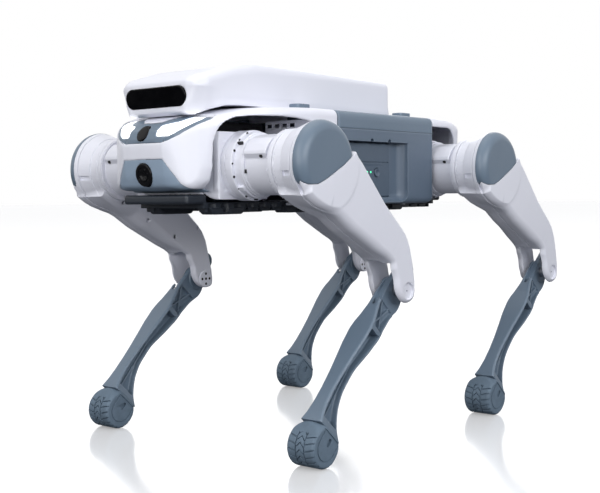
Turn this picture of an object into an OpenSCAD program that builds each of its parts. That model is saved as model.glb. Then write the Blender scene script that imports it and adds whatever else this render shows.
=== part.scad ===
// Four-legged walking robot, about 0.6 m long, standing.
// +X is forward (head), +Y is the robot's left side, +Z is up.
// The origin is on the floor under the middle of the standing robot's outline.

/* [Stance] */
// Fore-aft distance from the body's middle to each hip
hip_x = 174.5; // [172:0.5:177]
// Height of the hip pitch axis above the floor
hip_z = 315; // [312:0.5:318]
// Rearward lean of the thighs from straight down, degrees
thigh_lean = 45.2; // [44:0.1:46.5]
// Forward lean of the shanks from straight down, degrees
shank_lean = 43.6; // [42:0.1:45]

/* [Legs] */
// Distance from the hip pitch axis to the knee axis
thigh_len = 200; // [196:1:204]
// Distance from the knee axis to the foot centre
shank_len = 210; // [208:0.5:212]
// Sideways distance from the middle plane to the hip roll axis
roll_y = 62; // [62:0.5:63]
// Radius of the round foot
foot_r = 22; // [20:0.5:23]
// Radius of the crank and of the knee lever that the rod joins
crank_r = 30; // [28:0.5:31]

/* [Actuators] */
// Radius of the round hip pitch actuator's barrel
pitch_motor_r = 31; // [28:0.5:32]
// Radius of the hip roll actuators inside the body
roll_motor_r = 29.5; // [25:0.5:30]
// Radius of the knee actuator inside the thigh
knee_motor_r = 33; // [28:0.5:33]

/* [Body] */
// Half the width of the middle body
body_hw = 106; // [105:0.5:108]
// Height of the body's flat roof
roof_z = 380; // [379:0.5:382]
// Height of the body's underside
belly_z = 271; // [270:0.5:271.5]
// Half the width of the instrument box on the back
box_hw = 62; // [56:1:66]
// Height of the top of the instrument box
box_z = 429; // [427:0.5:434]
// Wall thickness of the moulded shells
wall = 2.5; // [2:0.1:3]

/* [Fits] */
// Radial clearance of the running fits
fit = 0.05; // [0.02:0.01:0.08]
// Radial clearance at the rod's lower eye
rod_play = 0.5; // [0.4:0.05:0.8]

/* [Hidden] */
$fn = 64;
// the outline's middle lies this far behind the hips' middle
shift_x = 40.3;
white = [0.88, 0.89, 0.94];
slate = [0.40, 0.46, 0.53];
dark = [0.11, 0.13, 0.17];
black = [0.02, 0.02, 0.025];
steel = [0.62, 0.64, 0.67];
mid_y = 160.5;      // middle plane of a leg
in_y = 139;         // inner face of the thigh
out_y = 182;        // outer face of the thigh
seam_y = 166;       // where the two thigh halves meet
ear_t = 8;          // thickness of each knee ear
eps = 0.01;

// ---------- helpers ----------
// body frame: x measured from the middle between the hips
module body() { translate([shift_x, 0, 0]) children(); }
// cylinder or cone along +Y
module yc(r, y0, y1, r2 = -1) {
  translate([0, y0, 0]) rotate([-90, 0, 0]) cylinder(h = y1 - y0, r1 = r, r2 = r2 < 0 ? r : r2);
}
// cylinder along +X
module xc(r, x0, x1) { translate([x0, 0, 0]) rotate([0, 90, 0]) cylinder(h = x1 - x0, r = r); }
// outline in the X-Z plane, extruded along +Y
module side(pts, y0, y1) { translate([0, y1, 0]) rotate([90, 0, 0]) linear_extrude(y1 - y0) polygon(pts); }
// outline in the Y-Z plane, extruded along +X
module front(pts, x0, x1) { translate([x0, 0, 0]) rotate([90, 0, 90]) linear_extrude(x1 - x0) polygon(pts); }
// local frame of a limb: X runs down the limb, Y to its rear, Z along +Y
module limb(lean) { rotate([0, 90 + lean, 0]) rotate([-90, 0, 0]) children(); }
module plate(pts, y0, y1) { translate([0, 0, y0]) linear_extrude(y1 - y0) polygon(pts); }
module disc(r, y0, y1) { translate([0, 0, y0]) cylinder(h = y1 - y0, r = r); }
// box with rounded vertical edges seen from the front (edges along X)
module xbox(x0, x1, hw, z0, z1, r) {
  for (s = [-1, 1]) for (z = [z0 + r, z1 - r]) translate([0, s * (hw - r), z]) xc(r, x0, x1);
  translate([x0, -hw, z0 + r]) cube([x1 - x0, 2 * hw, z1 - z0 - 2 * r]);
  translate([x0, -(hw - r), z0]) cube([x1 - x0, 2 * (hw - r), z1 - z0]);
}
function mir(p) = concat(p, [for (i = [len(p) - 1 : -1 : 0]) [-p[i][0], p[i][1]]]);
function ymir(p) = concat(p, [for (i = [len(p) - 1 : -1 : 0]) [p[i][0], -p[i][1]]]);

// ---------- one leg, origin at the hip pitch axis on the middle plane ----------
function hsign(leg) = (leg == "fl" || leg == "fr") ? 1 : -1;
function vsign(leg) = (leg == "fl" || leg == "hl") ? 1 : -1;
module at_leg(leg) {
  translate([shift_x + hsign(leg) * hip_x, 0, hip_z]) mirror([0, vsign(leg) < 0 ? 1 : 0, 0]) children();
}
knee_dx = -thigh_len * sin(thigh_lean);
knee_dz = -thigh_len * cos(thigh_lean);
pin_dx = -crank_r * sin(shank_lean);
pin_dz = crank_r * cos(shank_lean);

thigh_edge = [
  [6, -34], [36, -33], [54, -26.5], [80, -21], [128, -6], [148, 2], [156, 3],
  [163, -4], [174, -8], [181, -15], [191, -18], [203, -17.5], [213, -10.5], [217, -1], [212, 9],
  [201, 17], [192, 23], [180, 30], [167, 37], [156, 38.5], [142, 42.5], [128, 42], [100, 40], [60, 41], [20, 42], [6, 40]
];
thigh_room = [
  [4, -30], [35, -30], [53, -23.5], [79, -18], [127, -3], [148, 5.5], [159, 5.5],
  [159, 34], [142, 39], [128, 38.8], [100, 36.8], [60, 37.8], [20, 38.8], [4, 36]
];
ear_gap = [
  [156, 2], [162, -8], [173, -12], [180, -30], [240, -30], [240, 60], [176, 60], [165, 39.5], [156, 39.5]
];
cap_region = [
  [60, 0], [46, -6], [44, -12], [40, -19], [35, -22], [19, -21], [8, -17], [-23, -2], [-43, 11], [-60, 18],
  [-60, 60], [60, 60]
];

module hip_link(sx) color(white) {
  mirror([sx < 0 ? 1 : 0, 0, 0]) {
    difference() {
      union() {
        intersection() {
          translate([0, roll_y, 0]) xc(38, -38, 40);
          translate([-50, 0, -50]) cube([100, 66, 100]);
        }
        difference() {
          side([[-38, -36], [-34, -40], [36, -40], [40, -36], [40, 36], [36, 40], [-34, 40], [-38, 36]], 60, 66);
          for (x = [-31, 31]) for (z = [-32, 32]) translate([x, 0, z]) yc(2.2, 61.5, 67);
        }
        yc(38, 60, 82);
        yc(34.5, 80, 92);
      }
      yc(31.5, 56, 93);
      // fixing slots of the actuator's ring of screws
      for (a = [0 : 45 : 315]) rotate([0, a + 22.5, 0]) translate([0, 87, 33.4]) cylinder(h = 4, r = 1.5);
    }
    // output shaft carried by the roll actuator
    translate([0, roll_y, 0]) xc(10, -52, -37);
  }
}
module hip_pitch_motor() color(white) {
  difference() {
    union() {
      yc(31.4, 57, 94);
      yc(36, 92, 96);
      yc(pitch_motor_r, 95, 130);
      yc(37, 130, 136.6);
      // connector boss on the barrel
      translate([10, 99, -17]) cube([24, 28, 31]);
    }
    yc(12 + fit, 120, 137);
    translate([29, 108, 8]) xc(2, 3, 6);
  }
}
module thigh_inner() color(white) {
  difference() {
    union() {
      yc(37, 137, 149);
      yc(37, 148, seam_y + 1.5, 43.5);
      limb(thigh_lean) difference() {
        plate(thigh_edge, in_y, seam_y + 1.5);
        plate(ear_gap, in_y + ear_t, seam_y + 3);
      }
    }
    // the seam with the outer half
    translate([-400, seam_y, -400]) cube([800, 20, 800]);
    yc(33.4, 141.5, seam_y + 1);
    // room for the crank and the rod's upper eye
    yc(38.5, 162.5, seam_y + 1.1);
    limb(thigh_lean) difference() {
      plate(thigh_room, in_y + wall, seam_y + 1);
      for (p = [[76, -12], [122, 3], [144, 34.5]]) translate([p[0], p[1], 0]) disc(4, 120, 164);
    }
    limb(thigh_lean) {
      for (p = [[76, -12], [122, 3], [144, 34.5]]) translate([p[0], p[1], 0]) { disc(1.6, 120, seam_y + 2); disc(3.2, 120, in_y + 1.6); }
      translate([thigh_len, 0, 0]) disc(5, 130, 150);
    }
    // front slot of the root
    translate([30, 149.5, -13]) cube([14, 13.5, 4]);
  }
  // driven stub carried by the pitch actuator
  yc(12, 122, 141.6);
}
module thigh_outer() color(white) {
  difference() {
    union() {
      yc(42.5, seam_y - 1.5, 172, 45);
      yc(45, 172, 176);
      limb(thigh_lean) difference() {
        plate(thigh_edge, seam_y - 1.5, out_y);
        plate(ear_gap, seam_y - 3, out_y - ear_t);
      }
      intersection() { yc(45, 176, out_y + 0.5, 42.5); limb(thigh_lean) plate([[-50, -50], [60, -50], [60, 50], [-50, 50]], 170, out_y); }
    }
    translate([-400, seam_y - 20, -400]) cube([800, 20, 800]);
    yc(40.5, seam_y - 2, 177);
    limb(thigh_lean) {
      plate(thigh_room, seam_y - 2, out_y - wall - 0.5);
      translate([thigh_len, 0, 0]) { disc(5, 160, 190); disc(10, out_y - 1.2, out_y + 1); }
    }
    side(cap_region, 171.7, 190);
  }
}
module hip_cap() color(slate) difference() {
  intersection() {
    union() { yc(45, 172, 177); yc(45, 177, 182, 43.4); yc(43.4, 182, 185, 39); }
    side(cap_region, 171.7, 190);
  }
  yc(42, 170, 177);
  yc(42, 176.9, 182, 40.4);
}
module knee_motor() color(steel) difference() {
  union() { yc(knee_motor_r, 142, 163.6); yc(26, 163.5, 164.4); }
  yc(7.5 + fit, 155, 165);
}
module knee_axle() color(steel) limb(thigh_lean) translate([thigh_len, 0, 0]) {
  difference() {
    union() { disc(5, in_y - 0.6, out_y - 1.2); disc(13, in_y - 1.4, in_y); disc(7, 164.9, 174); disc(7.5, 147, 151.5); }
    for (a = [0 : 90 : 270]) rotate([0, 0, a]) translate([8.8, 0, 0]) disc(1.5, in_y - 3, in_y + 1);
    disc(2, in_y - 3, in_y + 1);
  }
}
module knee_crank() color(steel) {
  yc(7.5, 157, 172);
  limb(-shank_lean) {
    difference() {
      union() {
        disc(16, 171, 176);
        translate([-crank_r, 0, 0]) disc(7, 171, 176);
        plate([[0, -16], [0, 16], [-crank_r, 7], [-crank_r, -7]], 171, 176);
      }
      for (a = [45 : 90 : 315]) rotate([0, 0, a]) translate([11.5, 0, 0]) disc(1.4, 170, 177);
    }
    translate([-crank_r, 0, 0]) disc(3, 164.6, 172);
  }
}
module knee_rod() color(steel) translate([pin_dx, 0, pin_dz]) limb(thigh_lean) difference() {
  union() {
    disc(6.5, 165, 170.6);
    translate([thigh_len, 0, 0]) disc(6.5, 165, 170.6);
    translate([0, -3.5, 165]) cube([thigh_len, 7, 5.6]);
  }
  disc(3 + fit, 160, 172);
  translate([thigh_len, 0, 0]) disc(3 + rod_play, 160, 172);
}
shank_side = [
  [-8, -12.5], [8, -15], [30, -14], [50, -16.5], [70, -19.5], [90, -21], [110, -21.5], [130, -22], [150, -22.3],
  [170, -22.3], [190, -21.5], [192, -21.3], [192, 21.5], [184, 13], [165, 1], [143, -5], [118, -6], [90, -1], [53, 3],
  [28, 8], [8, 17], [-8, 12.5]
];
shank_plan = [
  [-8, 6], [28, 6.5], [36, 7.5], [50, 11], [60, 13.5], [70, 14.5], [90, 13.5], [110, 11.3], [130, 9.5], [150, 8.5], [170, 9],
  [182, 10.5], [192, 13.5]
];
module shank() color(slate) translate([knee_dx, 0, knee_dz]) limb(-shank_lean) difference() {
  union() {
    intersection() {
      plate(shank_side, mid_y - 20, mid_y + 20);
      translate([0, 0, mid_y]) rotate([-90, 0, 0]) translate([0, 0, -40]) linear_extrude(80) polygon(ymir(shank_plan));
      union() {
        translate([-20, -40, 154]) cube([49, 80, 10.6]);
        translate([28, -40, 140]) cube([170, 80, 41]);
      }
    }
    disc(15, 152, 164.6);
    disc(15, 157.5, 163.5);
    translate([-crank_r, 0, 0]) disc(11, 157.5, 163.5);
    plate([[0, -15], [0, 15], [-crank_r, 11], [-crank_r, -11]], 157.5, 163.5);
    translate([-crank_r, 0, 0]) disc(3, 163, 170.6);
    // tenon that the rubber foot is moulded on
    translate([190, -8, mid_y - 9]) cube([16, 16, 18]);
  }
  disc(5 + fit, 140, 180);
  // long side pockets with a web between them
  for (s = [-1, 1]) translate([0, 0, s < 0 ? mid_y - 20 - 4 : mid_y + 4]) {
    linear_extrude(20) polygon([[70, -15], [120, -17.5], [120, -10.5], [98, -5.5], [70, -2.5]]);
    linear_extrude(20) polygon([[126, -18], [172, -18], [180, -12], [180, -4], [168, -2.5], [150, -8.5], [126, -10]]);
    linear_extrude(20) polygon([[38, -11], [62, -14.5], [62, -2], [38, 1.5]]);
  }
}
module foot() color(dark) translate([knee_dx, 0, knee_dz]) limb(-shank_lean) translate([shank_len, 0, mid_y]) difference() {
  union() {
    intersection() {
      translate([0, 0, -18.5]) cylinder(h = 37, r = foot_r);
      sphere(r = 27);
      translate([-17.7, -30, -30]) cube([60, 60, 60]);
    }
  }
  translate([-20, -8, -9]) cube([16, 16, 18]);
  for (s = [-1, 1]) translate([-4, -3, s * 18.5 - 2]) cube([4, 6, 4]);
}

// ---------- body ----------
module chassis() color(dark) body() {
  // belly tray with ribbed edges and raised ends
  difference() {
    translate([-222, -50, 269.5]) cube([444, 100, 6]);
    for (x = [-200 : 20 : 200]) for (s = [-1, 1]) translate([x - 6, s * 50 - 4, 268]) cube([12, 8, 6.5]);
  }
  for (s = [-1, 1]) translate([s > 0 ? 217 : -240, -50, 273.5]) cube([s > 0 ? 31 : 23, 100, 10.5]);
  // front and rear spines
  for (s = [-1, 1]) {
    translate([s > 0 ? 92 : -210, -18, 275]) cube([118, 36, 70]);
    // bulkheads that carry the roll actuators
    difference() {
      union() {
        translate([s > 0 ? 88 : -93, -98, 277.4]) cube([5, 196, 90]);
        translate([s > 0 ? 88 : -93, -49, 275]) cube([5, 98, 9]);
      }
      for (q = [-1, 1]) translate([0, q * roll_y, hip_z]) xc(12, s * 100 - 15, s * 100 + 15);
    }
    // top deck
    translate([s > 0 ? 60 : -220, -18, 345]) cube([160, 36, 6]);
  }
  // nose carrier for the lamps and cameras
  translate([205, -16, 294]) cube([40, 32, 51]);
  // battery tray rails
  for (x = [-62, 40]) translate([x, -49, 275]) cube([4, 98, 4.4]);
}
module hip_roll_motors() color(steel) body()
  for (sx = [-1, 1]) for (sy = [-1, 1]) translate([sx * hip_x, sy * roll_y, hip_z]) mirror([sx < 0 ? 1 : 0, 0, 0])
    difference() {
      union() { xc(roll_motor_r, -81.5, -42); xc(22, -42.5, -39.5); }
      xc(10 + fit, -56, -39);
    }

nose_side = [
  [222, 289], [236, 286], [252, 290], [262, 300], [265, 320], [267.5, 336], [266.5, 343], [262, 353], [250, 360.5],
  [236, 365.5], [222, 369.5]
];
nose_side_in = [
  [217, 292], [236, 289], [250, 292.5], [259, 301.5], [262, 320], [264.4, 336], [263.4, 342.2], [259.4, 350.6], [248.6, 357.4],
  [236, 362.2], [217, 367]
];
nose_plan = [[268, 0], [267, 24], [262, 40], [246, 56], [234, 66], [226, 73], [217, 76]];
nose_plan_in = [[265, 0], [264, 23], [259.4, 38], [244, 53.4], [232.4, 63], [224, 70], [214, 73]];
nose_front = [[0, 284], [44, 286], [58, 289], [66, 296], [70, 306], [73, 330], [78, 352], [80, 372], [0, 372]];
nose_front_in = [[0, 280], [43, 289], [56, 292], [63.4, 297.6], [67, 307], [70, 330.4], [75, 352], [77, 374], [0, 374]];
module yplan(p, z0, z1) { translate([0, 0, z0]) linear_extrude(z1 - z0) polygon(ymir(p)); }
module nose_outer() intersection() {
  side(nose_side, -90, 90);
  yplan(nose_plan, 280, 380);
  front(mir([for (q = nose_front) q]), 200, 280);
}
module nose_inner() intersection() {
  side(nose_side_in, -90, 90);
  yplan(nose_plan_in, 280, 380);
  front(mir([for (q = nose_front_in) q]), 200, 280);
}
trim_region = mir([[0, 339.5], [35, 339.5], [62, 354.5], [74, 364], [60, 372], [44, 366], [24, 361], [0, 361]]);
lamp_l = [[20.5, 344.8], [34, 346.5], [58, 360.5], [63, 366], [52, 364.6], [36, 361], [21.5, 358]];
chin_region = mir([[0, 321.5], [30, 321.5], [41, 312], [58, 292], [66, 280], [0, 280]]);
module lamp_zone(g) for (s = [0, 1]) mirror([0, s, 0]) front(lamp_l, 200, 280);

roof_plan = [[61, body_hw], [100, 105], [140, 101], [170, 96], [200, 87], [218, 77], [226, 70]];
roof_side = [[61, 368], [61, roof_z], [115, roof_z], [140, roof_z - 0.6], [185, 377.5], [205, 374.5], [226, 368.6], [226, 366], [200, 369], [170, 370.5], [110, 370.5], [84, 368]];
roof_room = [[50, 360], [50, roof_z - 3], [115, roof_z - 3], [140, roof_z - 3.6], [184, 374.5], [204, 371.5], [227, 365], [227, 360]];
module end_roof() difference() {
  intersection() { side(roof_side, -120, 120); yplan(roof_plan, 300, 400); }
  intersection() {
    side(roof_room, -120, 120);
    yplan([for (q = roof_plan) [q[0] + 0.5, q[1] - 3.5]], 300, 400);
    translate([62, -120, 300]) cube([158, 240, 100]);
  }
}
module end_frame() difference() {
  xbox(61, 78, body_hw, belly_z, roof_z, 9);
  xbox(60, 79, body_hw - 3.5, belly_z + 5, roof_z - 3, 7);
  translate([50, -50.2, 260]) cube([40, 100.4, 20]);
}
module head_shell() color(white) body() {
  end_roof();
  end_frame();
  difference() {
    nose_outer();
    nose_inner();
    translate([200, 0, 0]) { }
    front(trim_region, 228, 280);
    front(chin_region, 224, 280);
    translate([200, -74, 280]) cube([26, 148, 84]);
  }
}
module face_trim() color(slate) body() difference() {
  intersection() { difference() { nose_outer(); nose_inner(); } front(trim_region, 228, 280); }
  lamp_zone(0);
  translate([0, 0, 350]) xc(9, 240, 280);
}
module headlights() color([0.98, 0.99, 1]) body() intersection() {
  difference() { nose_outer(); nose_inner(); }
  lamp_zone(0);
  translate([228, -90, 300]) cube([50, 180, 100]);
}
module cameras() color(black) body() {
  translate([0, 0, 350]) difference() { xc(9, 246, 265.6); xc(6, 264, 270); }
  translate([0, 0, 305.5]) difference() { xc(13, 246, 265.8); xc(7.5, 264.8, 270); }
}
module chin_bumper() color(slate) body() difference() {
  intersection() { difference() { nose_outer(); nose_inner(); } front(chin_region, 224, 280); }
  translate([0, 0, 305.5]) xc(13, 240, 280);
}
rear_plan = [[136, body_hw], [170, 101], [200, 93.5], [225, 85], [240, 78], [246, 70]];
rear_side = [[136, 368], [136, roof_z], [175, roof_z - 0.6], [215, 377.5], [240, 374.5], [246, 371], [246, 367], [200, 369], [160, 370.5]];
rear_room = [[130, 360], [130, roof_z - 3], [175, roof_z - 3.6], [215, 374.4], [239, 371.4], [250, 366], [250, 360]];
tail_side = [[216, 287], [238, 287], [246, 296], [246, 370], [240, 374], [216, 377]];
tail_room = [[206, 290], [237, 290], [243, 298], [243, 368], [239, 370.6], [206, 374]];
tail_front = [[0, 284], [56, 287], [65, 296], [69, 306], [71, 340], [72, 366], [72, 380], [0, 380]];
tail_front_in = [[0, 280], [54, 290], [62, 298], [66, 307], [68, 340], [69, 366], [69, 384], [0, 384]];
module rear_shell() color(white) body() mirror([1, 0, 0]) {
  difference() {
    intersection() { side(rear_side, -120, 120); yplan(rear_plan, 300, 400); }
    intersection() {
      side(rear_room, -120, 120);
      yplan([for (q = rear_plan) [q[0] + 0.5, q[1] - 3.5]], 300, 400);
      translate([138, -120, 300]) cube([90, 240, 100]);
    }
  }
  difference() {
    intersection() {
      translate([222, -76, 287]) cube([24, 152, 88]);
      side(tail_side, -90, 90);
      front(mir(tail_front), 200, 250);
    }
    intersection() {
      translate([213, -73, 290]) cube([30, 146, 82]);
      side(tail_room, -90, 90);
      front(mir(tail_front_in), 200, 250);
    }
  }
}
module battery_bay() color(slate) body() difference() {
  xbox(-136, 60.6, body_hw, belly_z, roof_z, 9);
  difference() {
    xbox(-133, 70, body_hw - wall, belly_z + 6, roof_z - 3, 7);
    // recess floors on both sides, with a lip round the battery
    for (s = [-1, 1]) translate([-81.5, s > 0 ? 92 : -94, belly_z]) cube([132, 2, 77]);
    for (s = [-1, 1]) translate([-81.5, s > 0 ? 92 : -104, belly_z]) cube([2.5, 12, 77]);
    for (s = [-1, 1]) translate([48, s > 0 ? 92 : -104, belly_z]) cube([2.5, 12, 77]);
    for (s = [-1, 1]) translate([-81.5, s > 0 ? 92 : -104, 345.5]) cube([132, 12, 2.5]);
  }
  for (s = [-1, 1]) translate([-79, s > 0 ? 94 : -114, belly_z - 1]) cube([127, 20, 75.5]);
  // slot in the floor for the chassis tray, and screw holes
  translate([-140, -50.2, 260]) cube([210, 100.4, 20]);
  for (x = [-120, 40]) for (s = [-1, 1]) translate([x, s * 70, 265]) cylinder(h = 15, r = 1.6);
  // way in for the battery
  translate([-54.5, 80, 279.5]) cube([91, 20, 65]);
  // way out for the spine and the top deck
  translate([-140, -18.3, 279.5]) cube([10, 36.6, 72]);
  // ways out for the roll shafts
  for (s = [-1, 1]) translate([0, s * roll_y, hip_z]) xc(23, -140, -130);
}
module battery_pack() color(slate) body() difference() {
  union() {
    translate([-54, -70, 280]) cube([90, 166, 64]);
  }
  translate([-50, 95, 322]) cube([82, 3, 1.2]);
  translate([-27, 0, 309]) yc(5.3, 93, 99);
}
module power_button() color(slate) body() translate([-27, 0, 309]) yc(5, 94.6, 97.4);
box_side = [
  [-104, 380], [-104, 417], [-101, 422], [-94, 424.6], [60, 428.2], [110, box_z], [150, box_z], [190, 423], [235, 410.5],
  [243, 407], [246.6, 401], [244.5, 385], [242.5, 371.5], [239.5, 368.8], [234, 368.4], [218, 374.6], [200, 379], [180, 380.2], [150, 380]
];
box_plan = [[247, 0], [246.6, 30], [244, 47], [236, 56], [222, 60.5], [200, box_hw], [-96, box_hw], [-102, box_hw - 3], [-104, box_hw - 9], [-104, 0]];
module top_box() color(white) body() difference() {
  intersection() {
    side(box_side, -80, 80);
    yplan(box_plan, 360, 440);
  }
  depth_slot(0.15, 4.15);
  // hollow for the electronics, open at the base
  translate([-98, -54, 380]) cube([270, 108, 38]);
}
module depth_slot(g, t) {
  translate([247.5 - t, 0, 0]) for (s = [-1, 1]) translate([0, s * 35.5, 388]) xc(11 + g, 0, 6);
  translate([247.5 - t, -35.5, 377 - g]) cube([6, 71, 22 + 2 * g]);
}
module depth_window() color(black) body() intersection() {
  depth_slot(0, 4);
  side([[243.6, 370], [245.2, 388], [246.2, 400], [240, 400], [240, 370]], -50, 50);
}
module top_pads() color(slate) body() for (sx = [-1, 1]) for (sy = [-1, 1])
  translate([sx * 100 - 11, sy * 81.5 - 7.5, 0]) {
    translate([3, 0, roof_z]) cube([16, 15, 5]);
    translate([0, 3, roof_z]) cube([22, 9, 5]);
    for (x = [3, 19]) for (y = [3, 12]) translate([x, y, roof_z]) cylinder(h = 5, r = 3);
  }
module belly_pads() color(black) body() for (x = [184, 62, -124]) for (s = [-1, 1])
  side([[x - 29, 269.5], [x - 22, 262.5], [x + 22, 262.5], [x + 29, 269.5]], s > 0 ? 30 : -50, s > 0 ? 50 : -30);
module body_screws() color(steel) body() for (x = [-120, 40]) for (s = [-1, 1]) translate([x, s * 70, 0]) {
  translate([0, 0, 269.4]) cylinder(h = 1.6, r = 3);
  translate([0, 0, 270.9]) cylinder(h = 7, r = 1.5);
}

chassis();
hip_roll_motors();
head_shell();
face_trim();
headlights();
cameras();
chin_bumper();
battery_bay();
battery_pack();
power_button();
rear_shell();
top_box();
depth_window();
top_pads();
belly_pads();
body_screws();
at_leg("fl") hip_link(hsign("fl"));  // hip_link_fl
at_leg("fl") hip_pitch_motor();  // hip_pitch_motor_fl
at_leg("fl") thigh_inner();  // thigh_inner_fl
at_leg("fl") thigh_outer();  // thigh_outer_fl
at_leg("fl") hip_cap();  // hip_cap_fl
at_leg("fl") knee_motor();  // knee_motor_fl
at_leg("fl") knee_axle();  // knee_axle_fl
at_leg("fl") knee_crank();  // knee_crank_fl
at_leg("fl") knee_rod();  // knee_rod_fl
at_leg("fl") shank();  // shank_fl
at_leg("fl") foot();  // foot_fl
at_leg("fr") hip_link(hsign("fr"));  // hip_link_fr
at_leg("fr") hip_pitch_motor();  // hip_pitch_motor_fr
at_leg("fr") thigh_inner();  // thigh_inner_fr
at_leg("fr") thigh_outer();  // thigh_outer_fr
at_leg("fr") hip_cap();  // hip_cap_fr
at_leg("fr") knee_motor();  // knee_motor_fr
at_leg("fr") knee_axle();  // knee_axle_fr
at_leg("fr") knee_crank();  // knee_crank_fr
at_leg("fr") knee_rod();  // knee_rod_fr
at_leg("fr") shank();  // shank_fr
at_leg("fr") foot();  // foot_fr
at_leg("hl") hip_link(hsign("hl"));  // hip_link_hl
at_leg("hl") hip_pitch_motor();  // hip_pitch_motor_hl
at_leg("hl") thigh_inner();  // thigh_inner_hl
at_leg("hl") thigh_outer();  // thigh_outer_hl
at_leg("hl") hip_cap();  // hip_cap_hl
at_leg("hl") knee_motor();  // knee_motor_hl
at_leg("hl") knee_axle();  // knee_axle_hl
at_leg("hl") knee_crank();  // knee_crank_hl
at_leg("hl") knee_rod();  // knee_rod_hl
at_leg("hl") shank();  // shank_hl
at_leg("hl") foot();  // foot_hl
at_leg("hr") hip_link(hsign("hr"));  // hip_link_hr
at_leg("hr") hip_pitch_motor();  // hip_pitch_motor_hr
at_leg("hr") thigh_inner();  // thigh_inner_hr
at_leg("hr") thigh_outer();  // thigh_outer_hr
at_leg("hr") hip_cap();  // hip_cap_hr
at_leg("hr") knee_motor();  // knee_motor_hr
at_leg("hr") knee_axle();  // knee_axle_hr
at_leg("hr") knee_crank();  // knee_crank_hr
at_leg("hr") knee_rod();  // knee_rod_hr
at_leg("hr") shank();  // shank_hr
at_leg("hr") foot();  // foot_hr
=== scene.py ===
"""Looks of the four-legged robot: detailed shells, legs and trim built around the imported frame."""
import math

import bpy
import numpy as np
from mathutils import Vector, Matrix


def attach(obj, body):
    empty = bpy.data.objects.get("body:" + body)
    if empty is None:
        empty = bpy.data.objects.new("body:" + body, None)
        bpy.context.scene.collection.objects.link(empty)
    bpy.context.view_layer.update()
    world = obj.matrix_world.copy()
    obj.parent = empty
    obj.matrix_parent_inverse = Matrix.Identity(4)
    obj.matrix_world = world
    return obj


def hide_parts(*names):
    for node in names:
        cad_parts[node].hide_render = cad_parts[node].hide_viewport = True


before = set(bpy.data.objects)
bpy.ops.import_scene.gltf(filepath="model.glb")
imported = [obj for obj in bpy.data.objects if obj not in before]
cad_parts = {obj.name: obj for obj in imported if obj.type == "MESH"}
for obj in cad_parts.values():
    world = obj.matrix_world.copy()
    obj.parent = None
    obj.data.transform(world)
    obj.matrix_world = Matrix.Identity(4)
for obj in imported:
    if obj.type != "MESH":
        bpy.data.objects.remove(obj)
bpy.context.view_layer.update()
scene = bpy.context.scene
SX = 40.3            # mm, the outline's middle to the hips' middle

# ------------------------------------------------------------------ distance fields


def outline(points, r=0.0, n=5):
    """A closed outline with its corners rounded. A point may carry its own radius."""
    p = [np.array(q[:2], float) for q in points]
    rr = [q[2] if len(q) > 2 else r for q in points]
    out = []
    for i in range(len(p)):
        a, b, c = p[i - 1], p[i], p[(i + 1) % len(p)]
        la, lc = np.linalg.norm(a - b), np.linalg.norm(c - b)
        if rr[i] <= 0 or la < 1e-6 or lc < 1e-6:
            out.append(b)
            continue
        ua, uc = (a - b) / la, (c - b) / lc
        ang = math.acos(max(-1.0, min(1.0, float(ua @ uc))))
        if ang > math.pi - 0.02:
            out.append(b)
            continue
        t = min(rr[i] / math.tan(ang / 2), 0.48 * la, 0.48 * lc)
        s, e = b + ua * t, b + uc * t
        for k in range(n + 1):
            w = k / n
            out.append((1 - w) ** 2 * s + 2 * w * (1 - w) * b + w * w * e)
    return np.array(out)


def outline_distance(pts, x, y):
    best = np.full(x.shape, 1e18)
    inside = np.zeros(x.shape, bool)
    n = len(pts)
    for i in range(n):
        ax, ay = pts[i - 1]
        bx, by = pts[i]
        ex, ey = bx - ax, by - ay
        ll = ex * ex + ey * ey
        if ll < 1e-12:
            continue
        px, py = x - ax, y - ay
        t = np.clip((px * ex + py * ey) / ll, 0, 1)
        dx, dy = px - t * ex, py - t * ey
        best = np.minimum(best, dx * dx + dy * dy)
        if ay != by:
            cross = (ay > y) != (by > y)
            inside ^= cross & (x < (bx - ax) * (y - ay) / (by - ay) + ax)
    d = np.sqrt(best)
    return np.where(inside, -d, d)


class Flat:
    """Signed distance to a flat outline, read from a table."""

    def __init__(self, points, r=0.0, pitch=0.6, pad=12.0, mirror=False):
        pts = list(points)
        if mirror == "x":
            pts = pts + [(-q[0],) + tuple(q[1:]) for q in reversed(pts) if abs(q[0]) > 1e-6]
        if mirror == "y":
            pts = pts + [(q[0], -q[1]) + tuple(q[2:]) for q in reversed(pts) if abs(q[1]) > 1e-6]
        pts = outline(pts, r)
        self.lo = pts.min(0) - pad
        hi = pts.max(0) + pad
        self.n = np.ceil((hi - self.lo) / pitch).astype(int) + 1
        self.pitch = pitch
        gx = self.lo[0] + np.arange(self.n[0]) * pitch
        gy = self.lo[1] + np.arange(self.n[1]) * pitch
        X, Y = np.meshgrid(gx, gy, indexing="ij")
        self.t = outline_distance(pts, X, Y)

    def __call__(self, u, v):
        a = (u - self.lo[0]) / self.pitch
        b = (v - self.lo[1]) / self.pitch
        ac = np.clip(a, 0, self.n[0] - 1.001)
        bc = np.clip(b, 0, self.n[1] - 1.001)
        i = ac.astype(np.int64)
        j = bc.astype(np.int64)
        fa, fb = ac - i, bc - j
        t = self.t
        d = (t[i, j] * (1 - fa) + t[i + 1, j] * fa) * (1 - fb) + (t[i, j + 1] * (1 - fa) + t[i + 1, j + 1] * fa) * fb
        return d + np.hypot(a - ac, b - bc) * self.pitch


def rmax(a, b, r):
    """Overlap of two solids with a rounded edge."""
    return np.minimum(-r, np.maximum(a, b)) + np.hypot(np.maximum(r + a, 0), np.maximum(r + b, 0))


def rmin(a, b, r):
    """Union of two solids with a fillet."""
    return np.maximum(r, np.minimum(a, b)) - np.hypot(np.maximum(r - a, 0), np.maximum(r - b, 0))


def rcut(a, b, r):
    return rmax(a, -b, r)


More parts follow.
